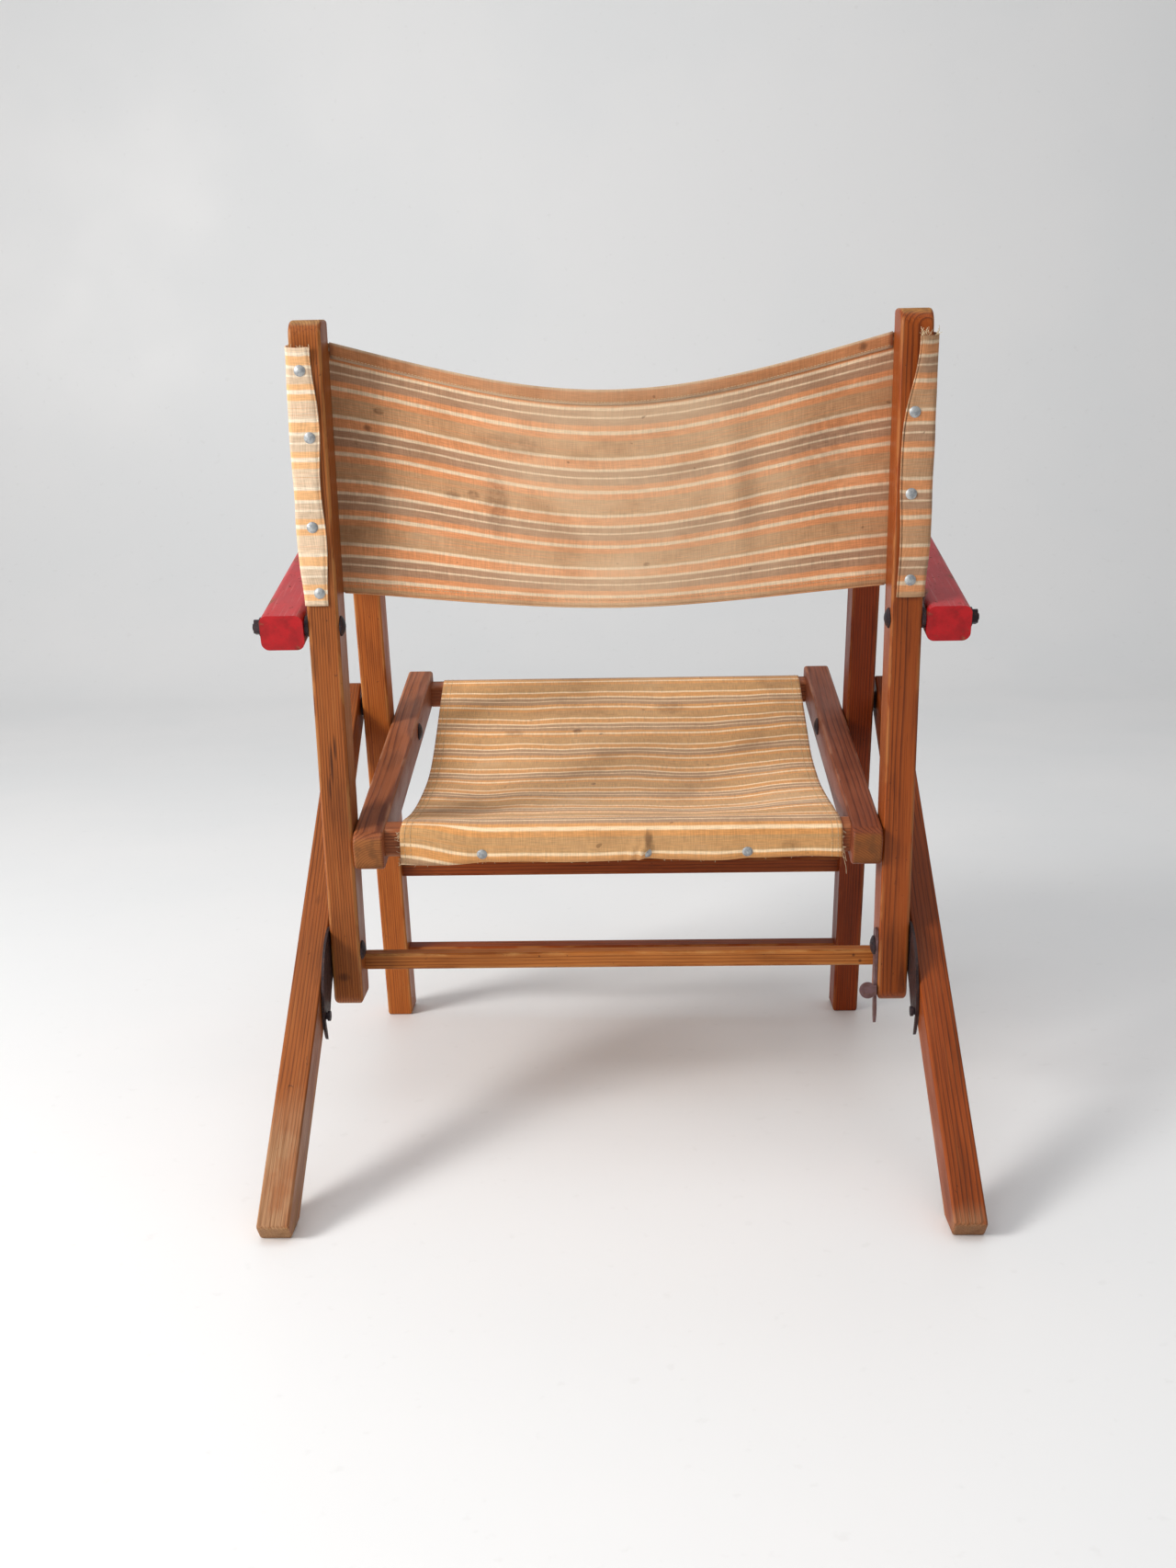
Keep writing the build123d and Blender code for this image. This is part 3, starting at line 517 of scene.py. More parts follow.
# Dark streaks, in each bar's own (down its length, across it, across the chair) from its middle
MARKS = {
    "back_post_left": [
        ((-0.075, -0.019, 0.001), (0.026, 0.010, 0.0022), 0.85),
        ((-0.060, -0.019, -0.003), (0.016, 0.010, 0.0016), 0.80),
        ((-0.100, -0.019, 0.004), (0.014, 0.010, 0.0015), 0.70),
        ((-0.292, -0.019, 0.003), (0.0055, 0.010, 0.008), 0.60),
        ((0.020, -0.019, 0.011), (0.022, 0.012, 0.004), 0.35),
    ],
    "back_post_right": [((-0.285, -0.019, 0.0), (0.060, 0.014, 0.016), 0.28)],
    "front_leg_right": [((-0.20, 0.0, 0.0), (0.16, 0.03, 0.02), 0.35)],
    "rear_leg_left": [((-0.02, 0.019, 0.0), (0.010, 0.008, 0.005), 0.45)],
    "rear_leg_right": [((0.05, 0.0, 0.013), (0.020, 0.012, 0.006), 0.45)],
    "seat_rail_left": [
        ((0.045, 0.019, 0.0), (0.034, 0.012, 0.016), 0.35),
        ((-0.13, 0.019, 0.0), (0.026, 0.010, 0.016), 0.25),
    ],
}
# Which bars take another tone. The right-hand ones take darker copies as painted shade, because they are
# away from the key light; amber is a lighter tone for the front left leg.
TONE = {
    "back_post_right": "post_shade",
    "front_leg_left": "amber",
    "front_leg_right": "umber_shade",
    "rear_leg_right": "shade",
    "seat_rail_right": "deep_shade",
}
FOOT = {"rear_leg_left": (0.175, 0.245, 0.13, 0.85), "rear_leg_right": (0.298, 0.318, 0.03, 0.45)}
POST_RING, RING = 2.5, 2.2
SEED_STEP = 1.37
seed = 1.0
for stem, way, tone in BARS:
    for end in ("left", "right"):
        node = f"{stem}_{end}"
        seed += SEED_STEP
        paint = wood(
            f"wood_{node}",
            middle_of(node),
            side_vector(way.u),
            side_vector(way.v),
            HALF_D,
            HALF_W,
            TONE.get(node, tone),
            seed,
            ring=POST_RING if stem == "back_post" else RING,
            marks=MARKS.get(node, ()),
            foot=FOOT.get(node),
        )
        dress(node, paint)

# The front stretchers take the darker shade tone as painted shade.
CROSS = (
    ("post_stretcher", POST_WAY, 0.0070, 0.0082, "honey"),
    ("front_stretcher_upper", FRONT_WAY, 0.0080, 0.0095, "shade"),
    ("front_stretcher_lower", FRONT_WAY, 0.0080, 0.0095, "shade"),
    ("seat_bar_rear", RAIL_WAY, 0.0135, 0.0110, "deep"),
    ("seat_bar_front", RAIL_WAY, 0.0135, 0.0110, "deep"),
)
NAILS = [
    ((-0.2365, -0.007, 0.003), (0.0022, 0.004, 0.0022), 0.85),
    ((-0.2300, -0.007, -0.003), (0.0020, 0.004, 0.0020), 0.75),
]
for node, way, half_v, half_u, tone in CROSS:
    seed += SEED_STEP
    marks = NAILS if node == "post_stretcher" else ()
    across = side_vector(way.v)
    paint = wood(f"wood_{node}", middle_of(node), X, across, half_v, half_u, tone, seed, marks=marks)
    dress(node, paint)

for end in ("left", "right"):
    node = f"armrest_{end}"
    seed += SEED_STEP
    along, across = side_vector(ARM_WAY.u), side_vector(ARM_WAY.v)
    dress(node, red_paint(f"red_{end}", middle_of(node), along, across, ARM_HALF_H, ARM_HALF_W, seed))

DARK_STEEL = metal("dark_steel", "1f1820", "33252a", "633e2b", 0.35, 0.42)
# The hook plates are dark rusted steel, darkened further as painted shade for their place between the post
# and the rear leg.
HOOK_STEEL_SHADED = metal("hook_steel", "261b1d", "382727", "6b422e", 0.30, 0.42, 70.0)
LEVER_STEEL = metal("lever_steel", "74585a", "644744", "8a5c40", 0.45, 0.46, 90.0)
ZINC = metal("zinc", "b3b6b6", "94979a", "77706a", 0.55, 0.42, 240.0)
FASTENER_ENDS = ("_bolts", "_screws", "_spacers", "_washers", "_nuts")
for node in sorted(frame["nodes"]):
    if node.endswith("_tacks"):
        dress(node, ZINC)
    elif node.startswith("hook_plate"):
        dress(node, HOOK_STEEL_SHADED)
    elif node.startswith("thumb_lever"):
        dress(node, LEVER_STEEL)
    elif node.endswith(FASTENER_ENDS) or node.startswith(("hook_bolt", "hook_pin")):
        dress(node, DARK_STEEL)


# ---------------------------------------------------------------- cloth helpers
CLOTH = 1.2 * MM
GAP = 0.3 * MM
STAND = GAP + CLOTH / 2


def at_height(way, x, s, t):
    p = way.at(s, t)
    return Vector((x, p[0], p[1]))


def cloth_mesh(name, points, uvs, fresh=None, soil_and_shade=0.0, soil_and_shade_rows=None, thickness=CLOTH):
    """A sheet from rows of points, with UVs in metres. fresh and soil_and_shade_rows give each point how
    new and how dark it is, from 0 to 1, darker for soil and for painted shade, and soil_and_shade is one
    value for the whole sheet."""
    rows, columns = len(points), len(points[0])
    verts = [p for row in points for p in row]
    faces = []
    for i in range(rows - 1):
        for j in range(columns - 1):
            k = i * columns + j
            faces.append((k, k + 1, k + columns + 1, k + columns))
    mesh = bpy.data.meshes.new(name)
    mesh.from_pydata(verts, [], faces)
    layer = mesh.uv_layers.new(name="UVMap")
    flat = [pair for row in uvs for pair in row]
    for loop in mesh.loops:
        layer.data[loop.index].uv = flat[loop.vertex_index]
    shade = mesh.attributes.new("fresh", "FLOAT", "POINT")
    if fresh:
        shade.data.foreach_set("value", [f for row in fresh for f in row])
    soil_and_shade_layer = mesh.attributes.new("soil_and_shade", "FLOAT", "POINT")
    values = [f for row in soil_and_shade_rows for f in row] if soil_and_shade_rows else [soil_and_shade] * len(mesh.vertices)
    soil_and_shade_layer.data.foreach_set("value", values)
    mesh.polygons.foreach_set("use_smooth", [True] * len(mesh.polygons))
    piece = bpy.data.objects.new(name, mesh)
    bpy.context.scene.collection.objects.link(piece)
    thick = piece.modifiers.new("thickness", "SOLIDIFY")
    thick.thickness = thickness
    thick.offset = 0.0
    return piece


def strands(name, lines, radius, material):
    """Thin round threads along lists of points, as one piece."""
    data = bpy.data.curves.new(name, "CURVE")
    data.dimensions = "3D"
    data.bevel_depth = radius
    data.bevel_resolution = 1
    data.use_fill_caps = True
    for line in lines:
        spline = data.splines.new("POLY")
        spline.points.add(len(line) - 1)
        for point, place in zip(spline.points, line):
            point.co = (*place, 1.0)
    piece = bpy.data.objects.new(name, data)
    bpy.context.scene.collection.objects.link(piece)
    data.materials.append(material)
    return piece


def dashes(surface, start, end, count, lift, fill=0.62):
    """Stitches along a surface(k) line, k from 0 to 1: short humps that dip in at both ends."""
    made = []
    for i in range(count):
        low = start + (end - start) * i / count
        high = start + (end - start) * (i + fill) / count
        line = []
        for step, rise in ((0.0, 0.1), (0.2, 0.85), (0.5, 1.0), (0.8, 0.85), (1.0, 0.1)):
            point, away = surface(low + (high - low) * step)
            line.append(point + away * lift * rise)
        made.append(line)
    return made


def thread_material(name, tone):
    g = Graph(name)
    where = g.node("TexCoord", {}, out="Object")
    twist = g.noise(where, 900.0, 2.0)
    colour = g.mix(g.span(twist, 0.35, 0.65, 0.0, 0.5), rgb(tone), rgb("8f7556"))
    return g.finish(colour, g.span(twist, 0.3, 0.7, 0.75, 0.9), g.bump(twist, 0.0001, 0.6))


THREAD = thread_material("thread", "ddc9a4")
SEWING = thread_material("sewing_thread", "d3ba90")

# ---------------------------------------------------------------- back sling
LOW, HIGH = 128.0 * MM, 357.0 * MM
DEPTH = HIGH - LOW
LIFT = 5.5 * MM  # the lower edge is higher between the posts than behind them
TOP_SAG, LOW_SAG = 45.0 * MM, 15.0 * MM
BULGE = 14.0 * MM
FIRST_CREAM_BACK = 189.5 * MM
CORNER = 3.6 * MM
TACKS_LEFT = (335.0 * MM, 277.5 * MM, 199.0 * MM, 139.5 * MM)
TACKS_RIGHT = (290.5 * MM, 220.0 * MM, 143.5 * MM)
MIDDLE_DEPTH = DEPTH - TOP_SAG * 0.65  # the height of the cloth between its sagging edges
HEM, LOW_HEM = 11.5 * MM, 11.0 * MM
# Where the hem lies in the stripes: an orange band runs along it
HEM_SHIFT = FIRST_CREAM_BACK - 0.52 * REPEAT - 5.5 * MM


def span_point(x, r, off=0.0):
    """On the cloth between the posts: x across, r from its lower edge (0) to its top (1), and off
    its middle surface towards the back."""
    a = min(1.0, abs(x) / POST_IN)
    arch = 1 - a * a
    curl = (1 + math.cos(math.pi * a)) / 2
    top = HIGH - TOP_SAG * (0.75 * arch + 0.25 * curl)
    low = LOW + LIFT - LOW_SAG * (0.6 * arch + 0.4 * curl)
    belly = 0.13 * curl
    k = r - belly * r * (1 - r) if 0 <= r <= 1 else r
    pull = 0.35 * (curl - arch) * r * (1 - r) * TOP_SAG * 4
    s = low + (top - low) * k - pull * 0.6
    t = HALF_D + STAND - BULGE * math.sin(math.pi / 2 * (1 - a)) ** 2
    free = smooth(1.0, 0.86, a)
    t += free * 2.4 * MM * noise.noise(Vector((x * 7.0, s * 13.0, 3.1)))
    t += free * 1.1 * MM * noise.noise(Vector((x * 19.0, s * 27.0, 8.4)))
    # A soft crease beside the middle, and pulls that fan out from the posts
    t -= free * 2.6 * MM * bell(x + 0.108, 0.10 * (s - 0.25), 0.012) * bell(s, 0.225, 0.050)
    t += free * 1.3 * MM * bell(x + 0.132, 0.06 * (s - 0.25), 0.014) * bell(s, 0.215, 0.060)
    fan = smooth(0.55, 0.97, a) * free
    t += fan * 1.0 * MM * math.sin(s * 165.0 + x * 24.0)
    return at_height(POST_WAY, x, s, t - off)


def tack_pull(s, tacks):
    """1 beside a tack, 0 away from it."""
    return max(bell(s, place, 13 * MM) for place in tacks)


def strip_edge(left, s):
    """How far from the middle the strip behind a post starts."""
    if left:
        return (258.0 + 1.2 * math.sin(s * 60.0) + 2.0 * smooth(0.30, 0.357, s)) * MM
    return (255.6 + 1.0 * math.sin(s * 45.0) + 11.0 * smooth(0.270, 0.357, s)) * MM


def strip_lift(left, s, k):
    """How far the strip stands off the post: k is 0 at its inner edge and 1 at the corner."""
    tacks = TACKS_LEFT if left else TACKS_RIGHT
    loose = 1 - tack_pull(s, tacks)
    lift = 1.3 * MM * loose * math.sin(math.pi * min(1.0, 0.25 + 0.75 * k))
    if not left:
        lift += 8.5 * MM * smooth(0.298, 0.357, s) * (1 - 0.45 * k)
        lift += 1.2 * MM * loose * math.sin(math.pi * (0.15 + 0.7 * k))
    else:
        lift += 1.6 * MM * smooth(0.338, 0.357, s)
    return lift


def wrap_section(left, s):
    """Half of the cloth in plan at height s, as (x, t) from the strip's inner edge to the post's
    inner front edge. Its points keep their count, so that the rows join: 0 to 13 are the strip behind
    the post, 14 to 17 its corner, 18 to 24 the post's side, 25 to 28 the front corner, and 29 to 33
    the front."""
    edge = strip_edge(left, s)
    slack = 3.2 * MM * smooth(LOW, LOW + 0.055, s) * (1 - 0.35 * smooth(0.30, 0.357, s))
    puff = noise.noise(Vector((5.0 if left else 9.0, s * 24.0, 0.0)))
    slack += 1.4 * MM * puff * smooth(LOW, LOW + 0.04, s)
    slack = max(0.0, slack)
    x_out = POST_OUT + STAND + slack
    back, front = -(HALF_D + STAND), HALF_D + STAND
    line = []
    turn = x_out - CORNER
    # The raw edge is turned under
    under = 0.75 * MM
    lift = strip_lift(left, s, 0.0)
    for k in range(4):
        angle = math.pi * (1 - k / 3)
        t = back - lift - under * (1 - math.cos(angle)) + 2 * under - 0.5 * MM
        line.append((edge + under - under * math.sin(angle), t))
    for k in range(1, 11):
        f = k / 10
        lift = strip_lift(left, s, f)
        line.append((edge + (turn - edge) * f, back - lift - 0.2 * MM))
    end_lift = strip_lift(left, s, 1.0) + 0.2 * MM
    for k in range(1, 5):
        angle = math.radians(22.5 * k)
        line.append((turn + CORNER * math.sin(angle), back - end_lift + CORNER * (1 - math.cos(angle))))
    side_low, side_high = back - end_lift + CORNER, front - CORNER
    for k in range(1, 8):
        f = k / 7
        bow = 0.8 * MM * math.sin(math.pi * f) * smooth(LOW, LOW + 0.05, s)
        line.append((x_out + bow, side_low + (side_high - side_low) * f))
    for k in range(1, 5):
        angle = math.radians(22.5 * k)
        line.append((turn + CORNER * math.cos(angle), side_high + CORNER * math.sin(angle)))
    for k in range(1, 6):
        f = k / 5
        line.append((turn + (POST_IN - turn) * f, front))
    return line


ROWS = 64
SPAN = 108


def wrapped_part(left, s, r):
    """The cloth round one post at height s, from the strip's edge: its points, how new each of them
    is, and how dark, from soil and from painted shade."""
    part, new, dirt = [], [], []
    half = wrap_section(left, s)
    # The right strip takes little of the fresh tones, which darkens it: painted shade, as the right side is
    # away from the key light.
    share = 1.0 if left else 0.12
    for k, (x, t) in enumerate(half):
        wave = 0.30 * MM * math.sin(k * 0.7 + s * 31.0) * smooth(14, 4, k) * r
        drop = 2.5 * MM * smooth(0.30, 0.357, s) * smooth(24, 10, k)
        lift = LIFT * (1 - r) * smooth(20, 34, k)
        part.append(at_height(POST_WAY, x if left else -x, s + wave - drop + lift, t))
        new.append(share * smooth(len(half) - 3, len(half) - 14, k))
        # How dark each point is: an even 0.15 on the left; on the right 0.30, more along the strip's turned
        # inner edge and again from its corner round the post, all painted shade.
        dirt.append(0.15 if left else 0.30 + 0.42 * smooth(9, 2, k) + 0.24 * smooth(10, 15, k))
    return part, new, dirt


def run_along(line):
    """The distance along a line of points, at each of them."""
    run = [0.0]
    for a, b in zip(line, line[1:]):
        run.append(run[-1] + math.dist(a, b))
    return run


def back_sheet():
    """Rows from the bottom up, each from the left strip, round both posts, to the right strip."""
    points, uvs, fresh, soil_and_shade = [], [], [], []
    for i in range(ROWS + 1):
        r = i / ROWS
        s = LOW + DEPTH * r
        row, new, dirt = wrapped_part(True, s, r)
        for k in range(1, SPAN):
            row.append(span_point(POST_IN * (1 - 2 * k / SPAN), r))
            new.append(0.0)
            # Between the posts the cloth darkens towards each post.
            dirt.append(0.34 * smooth(0.86, 1.0, abs(1 - 2 * k / SPAN)))
        for values, more in zip((row, new, dirt), wrapped_part(False, s, r)):
            values += more[::-1]
        run = run_along(row)
        points.append(row)
        uvs.append([(q - run[-1] / 2, r * DEPTH) for q in run])
        fresh.append(new)
        soil_and_shade.append(dirt)
    return points, uvs, fresh, soil_and_shade


BACK_SPOTS = (
    (-0.212, 0.176, 0.006, 0.004, 0.85),
    (-0.224, 0.158, 0.005, 0.004, 0.60),
    (-0.236, 0.143, 0.003, 0.003, 0.50),
    (-0.130, 0.112, 0.007, 0.006, 0.60),
    (-0.108, 0.108, 0.014, 0.040, 0.40),
    (-0.150, 0.108, 0.010, 0.005, 0.45),
    (-0.088, 0.170, 0.040, 0.014, 0.28),
    (0.196, 0.150, 0.040, 0.060, 0.26),
    (-0.235, 0.105, 0.030, 0.100, 0.22),
    (0.030, 0.050, 0.004, 0.003, 0.40),
)
# The back's middle gets a painted highlight through lit_middle.
BACK_CANVAS = canvas("back_canvas", FIRST_CREAM_BACK, -1.0, BACK_SPOTS, 2.0, lit_middle=0.42)
back_points, back_uvs, back_fresh, back_soil_and_shade = back_sheet()
back = cloth_mesh("back_canvas", back_points, back_uvs, back_fresh, soil_and_shade_rows=back_soil_and_shade)
back.data.materials.append(BACK_CANVAS)


def top_hem():
    """The top of the cloth turned over towards the back and sewn down."""
    points, uvs = [], []
    steps = 100
    profile = [(-0.6, 0.55), (0.1, 0.45), (0.55, 0.0), (0.62, -0.5), (0.3, -1.0)]
    for k in range(steps + 1):
        x = (POST_IN - 0.6 * MM) * (1 - 2 * k / steps)
        column, run = [], []
        top = span_point(x, 1.0)
        up = (span_point(x, 1.0) - span_point(x, 0.97)).normalized()
        away = (span_point(x, 1.0, 0.001) - top).normalized()
        for rise, out in profile:
            column.append(top + up * rise * MM + away * (-out) * MM)
            run.append(HEM_SHIFT + rise * MM)
        for j in range(1, 7):
            d = HEM * j / 6
            puff = 1.25 * MM + 0.45 * MM * math.sin(math.pi * j / 6)
            puff += 0.35 * MM * noise.noise(Vector((x * 40.0, d * 90.0, 1.0)))
            column.append(span_point(x, 1.0 - d / MIDDLE_DEPTH, puff))
            run.append(HEM_SHIFT + d)
        points.append(column)
        uvs.append([(x, q) for q in run])
    return points, uvs


hem_points, hem_uvs = top_hem()
hem = cloth_mesh("back_top_hem", hem_points, hem_uvs, soil_and_shade=0.66, thickness=1.0 * MM)
hem.data.materials.append(BACK_CANVAS)


def low_hem():
    """The lower edge turned under towards the front."""
    points, uvs = [], []
    steps = 100
    profile = [(-0.4, 0.6), (0.45, 0.35), (0.6, -0.3), (0.3, -0.9)]
    for k in range(steps + 1):
        x = (POST_IN - 0.6 * MM) * (1 - 2 * k / steps)
        low = span_point(x, 0.0)
        down = (low - span_point(x, 0.03)).normalized()
        away = (span_point(x, 0.0, 0.001) - low).normalized()
        column = [low + down * rise * MM + away * out * MM for rise, out in profile]
        run = [0.0, -0.5 * MM, -1.0 * MM, -1.5 * MM]
        for j in range(1, 5):
            d = LOW_HEM * j / 4
            column.append(span_point(x, d / DEPTH, -1.25 * MM))
            run.append(-d)
        points.append(column)
        uvs.append([(x, q) for q in run])
    return points, uvs


low_points, low_uvs = low_hem()
under_hem = cloth_mesh("back_low_hem", low_points, low_uvs, thickness=1.0 * MM)
under_hem.data.materials.append(BACK_CANVAS)


def seam_line(r, lift):
    """A seam across the back at share r of its height, lying lift off the cloth's middle."""

    def at(k):
        x = (POST_IN - 2 * MM) * (1 - 2 * k)
        p = span_point(x, r, lift)
        return p, (span_point(x, r, lift + 0.001) - p).normalized()

    return at


STITCHES = 168
top_line = seam_line(1.0 - (HEM - 2.5 * MM) / MIDDLE_DEPTH, 1.95 * MM)
low_line = seam_line(8.5 * MM / DEPTH, 0.7 * MM)
seams = dashes(top_line, 0.0, 1.0, STITCHES, 0.35 * MM)
seams += dashes(low_line, 0.0, 1.0, STITCHES, 0.35 * MM)
back_seam = strands("back_stitching", seams, 0.26 * MM, SEWING)

# Frayed ends at the loose corner, and a few whiskers along the cut edges
draw = random.Random(5)
WHISKER_R = 0.17 * MM


def whisker(start, heading, length, wobble):
    """A thread that wanders from start."""
    line, direction = [start], heading.normalized()
    for k in range(6):
        turn = Vector((draw.uniform(-1, 1), draw.uniform(-1, 1), draw.uniform(-1, 1)))
        direction = (direction + turn * wobble).normalized()
        line.append(line[-1] + direction * length / 6)
    return line


loose = []
top_row = back_points[-1]
for k in range(26):
    corner = top_row[len(top_row) - 1 - int(draw.uniform(0, 15))]
    heading = Vector((draw.uniform(-0.9, 0.4), draw.uniform(-0.1, 0.5), draw.uniform(0.2, 1.0)))
    loose.append(whisker(corner, heading, draw.uniform(3.0, 9.0) * MM, 0.35))
for k in range(9):
    corner = top_row[int(draw.uniform(0, 14))]
    heading = Vector((draw.uniform(-0.5, 0.8), draw.uniform(0, 0.4), 1.0))
    loose.append(whisker(corner, heading, draw.uniform(1.5, 4.0) * MM, 0.35))
back_threads = strands("back_loose_threads", loose, WHISKER_R, THREAD)

# ---------------------------------------------------------------- seat sling
SEAT_LEFT, SEAT_RIGHT = 207.0 * MM, -214.0 * MM
SEAT_W = SEAT_LEFT - SEAT_RIGHT
SEAT_X = (SEAT_LEFT + SEAT_RIGHT) / 2
BAR_D, REAR_BAR_H, FRONT_BAR_H = 22.0 * MM, 30.0 * MM, 27.0 * MM
REAR_BAR = (137.6 * MM, 3.0 * MM)
FRONT_BAR = (-263.4 * MM, -5.0 * MM)
SEAT_SAG = 27.0 * MM
SEAT_TACKS = (129.0 * MM, -28.0 * MM, -124.0 * MM)
SEAT_STEPS = 92
FIRST_CREAM_SEAT = 32.5 * MM


def seat_line(x, off=0.0):
    """The seat cloth at x across the chair, from the edge that hangs behind the rear bar to the one
    in front of the front bar, as (s, t) of the rail. off is above its middle surface."""
    k = (x - SEAT_X) / (SEAT_W / 2)
    stand = STAND + off
    rear_face = REAR_BAR[0] + BAR_D / 2 + stand
    rear_top = REAR_BAR[1] + REAR_BAR_H / 2 + stand
    front_face = FRONT_BAR[0] - BAR_D / 2 - stand
    front_top = FRONT_BAR[1] + FRONT_BAR_H / 2 + stand
    corner = 5.0 * MM + stand
    # The hanging edge dips at the left, and is drawn up by the tacks and the pucker
    hang = 15.2 * MM + 2.2 * MM * smooth(0.1, 0.9, k) - 2.2 * MM * smooth(-0.3, -1.0, k)
    hang += 0.9 * MM * math.sin(x * 46.0)
    grip = max(bell(x, tack, 0.013) for tack in SEAT_TACKS)
    flare = 2.2 * MM * (1 - grip)
    line = []
    for f in (0.0, 0.2, 0.4, 0.6, 0.8, 0.95):
        t = -hang + (rear_top - corner + hang) * f
        ripple = 0.8 * MM * noise.noise(Vector((x * 26.0, f * 2.0, 4.0))) + 0.5 * MM
        out = flare * (1 - f) + ripple * (1 - f * 0.5)
        ridge = SEAT_TACKS[1] + 0.0075 - 0.014 * f
        pinch = 6.0 * MM * bell(x, ridge, 0.0030) + 2.4 * MM * bell(x, ridge + 0.009, 0.0038)
        out += pinch * math.sin(math.pi * min(1.0, f + 0.18))
        line.append((rear_face + max(0.0, out), t))
    for n in range(7):
        a = math.radians(15 * n)
        line.append((rear_face - corner + corner * math.cos(a), rear_top - corner + corner * math.sin(a)))
    s0, t0 = REAR_BAR[0] - BAR_D / 2 + 4 * MM, rear_top
    s1, t1 = FRONT_BAR[0] + BAR_D / 2 - 4 * MM, front_top
    depth = SEAT_SAG * (1.0 - 0.30 * smooth(-0.35, -1.0, k) - 0.10 * smooth(0.6, 1.0, k))
    for n in range(SEAT_STEPS + 1):
        a = n / SEAT_STEPS
        free = smooth(0.0, 0.10, a) * smooth(1.0, 0.90, a)
        sag = depth * 4 * a * (1 - a) * (1.25 - 0.5 * a)
        s = s0 + (s1 - s0) * a
        wave = 2.2 * MM * noise.noise(Vector((x * 9.0, s * 10.0, 1.7)))
        wave += 1.1 * MM * noise.noise(Vector((x * 24.0, s * 17.0, 6.2)))
        wave += 1.4 * MM * math.sin(x * 27.0 + 0.8) * smooth(0.85, 0.25, a)
        line.append((s, t0 + (t1 - t0) * a - sag + wave * free))
    for n in range(7):
        a = math.radians(15 * n)
        line.append((front_face + corner - corner * math.sin(a), front_top - corner + corner * math.cos(a)))
    for f in (0.33, 0.66, 1.0):
        low = FRONT_BAR[1] - FRONT_BAR_H / 2 - 1.0 * MM
        line.append((front_face, front_top - corner + (low - front_top + corner) * f))
    return line


def waist(n, count):
    """The free sides are drawn in a little between the bars."""
    a = n / count
    return 1.0 - 0.030 * math.sin(math.pi * a ** 0.8) ** 2


SEAT_COUNT = len(seat_line(0.0))
FLAT_RUN = run_along(seat_line(0.0))


def seat_row(x, off=0.0):
    line = enumerate(seat_line(x, off))
    return [at_height(RAIL_WAY, x * waist(n, SEAT_COUNT - 1), s, t) for n, (s, t) in line]


def seat_strip(x_low, x_high, columns, off=0.0):
    """Seat cloth from x_high down to x_low. The stripes of its rear flap are drawn up at the left."""
    points, uvs = [], []
    for k in range(columns + 1):
        x = x_high + (x_low - x_high) * k / columns
        points.append(seat_row(x, off))
        drawn_up = 12.0 * MM * smooth(0.125, 0.205, x)
        uvs.append([(x, run - drawn_up * smooth(0.075, 0.028, run)) for run in FLAT_RUN])
    return points, uvs


SEAT_SPOTS = (
    (0.046, 0.333, 0.007, 0.006, 0.70),
    (0.026, 0.196, 0.0035, 0.004, 0.75),
    (-0.060, 0.385, 0.022, 0.018, 0.34),
    (0.118, 0.330, 0.014, 0.012, 0.30),
    (-0.030, 0.022, 0.005, 0.012, 0.60),
    (-0.100, 0.250, 0.003, 0.003, 0.45),
    (-0.028, 0.060, 0.060, 0.030, 0.20),
    (-0.165, 0.012, 0.012, 0.008, 0.32),
)
SEAT_FADED = {CREAM: "fadab0", ORANGE: "dd9c5c", TAN: "c99a66", GREY: "b9906b"}
# The seat's faded colours, and a weak painted highlight on its middle.
SEAT_FADE_AND_HIGHLIGHT = dict(faded=SEAT_FADED, lit_middle=0.10)
SEAT_CANVAS = canvas("seat_canvas", FIRST_CREAM_SEAT, -1.0, SEAT_SPOTS, 7.0, **SEAT_FADE_AND_HIGHLIGHT)
seat_points, seat_uvs = seat_strip(SEAT_RIGHT, SEAT_LEFT, 150)
seat = cloth_mesh("seat_canvas", seat_points, seat_uvs)
seat.data.materials.append(SEAT_CANVAS)

HEM_W = 12.0 * MM
BETWEEN_BARS = slice(14, SEAT_COUNT - 10)
side_hems = []
for name, low, high, fold in (
    ("seat_hem_left", SEAT_LEFT - HEM_W, SEAT_LEFT, SEAT_LEFT),
    ("seat_hem_right", SEAT_RIGHT, SEAT_RIGHT + HEM_W, SEAT_RIGHT),
):
    strip, strip_uvs = seat_strip(low, high, 5, -1.15 * MM)
    # Between the bars only: over a bar the fold is pressed flat
    strip = [row[BETWEEN_BARS] for row in strip]
    strip_uvs = [[(2 * fold - u, v) for u, v in row[BETWEEN_BARS]] for row in strip_uvs]
    made = cloth_mesh(name, strip, strip_uvs, thickness=0.9 * MM)
    made.data.materials.append(SEAT_CANVAS)
    side_hems.append(made)


def seat_seam(x):
    """A seam along the seat at x, just above the cloth."""
    row = seat_row(x, 0.62 * MM)
    beside = seat_row(x, 1.62 * MM)

    def at(k):
        place = k * (len(row) - 1)
        n = min(len(row) - 2, int(place))
        f = place - n
        p = row[n].lerp(row[n + 1], f)
        q = beside[n].lerp(beside[n + 1], f)
        return p, (q - p).normalized()

    return at


seams = []
SEAM_IN = (4.5 * MM, 10.0 * MM)
for x in [SEAT_LEFT - d for d in SEAM_IN] + [SEAT_RIGHT + d for d in SEAM_IN]:
    seams += dashes(seat_seam(x), 0.0, 1.0, 150, 0.30 * MM)
seat_seam_piece = strands("seat_stitching", seams, 0.25 * MM, SEWING)

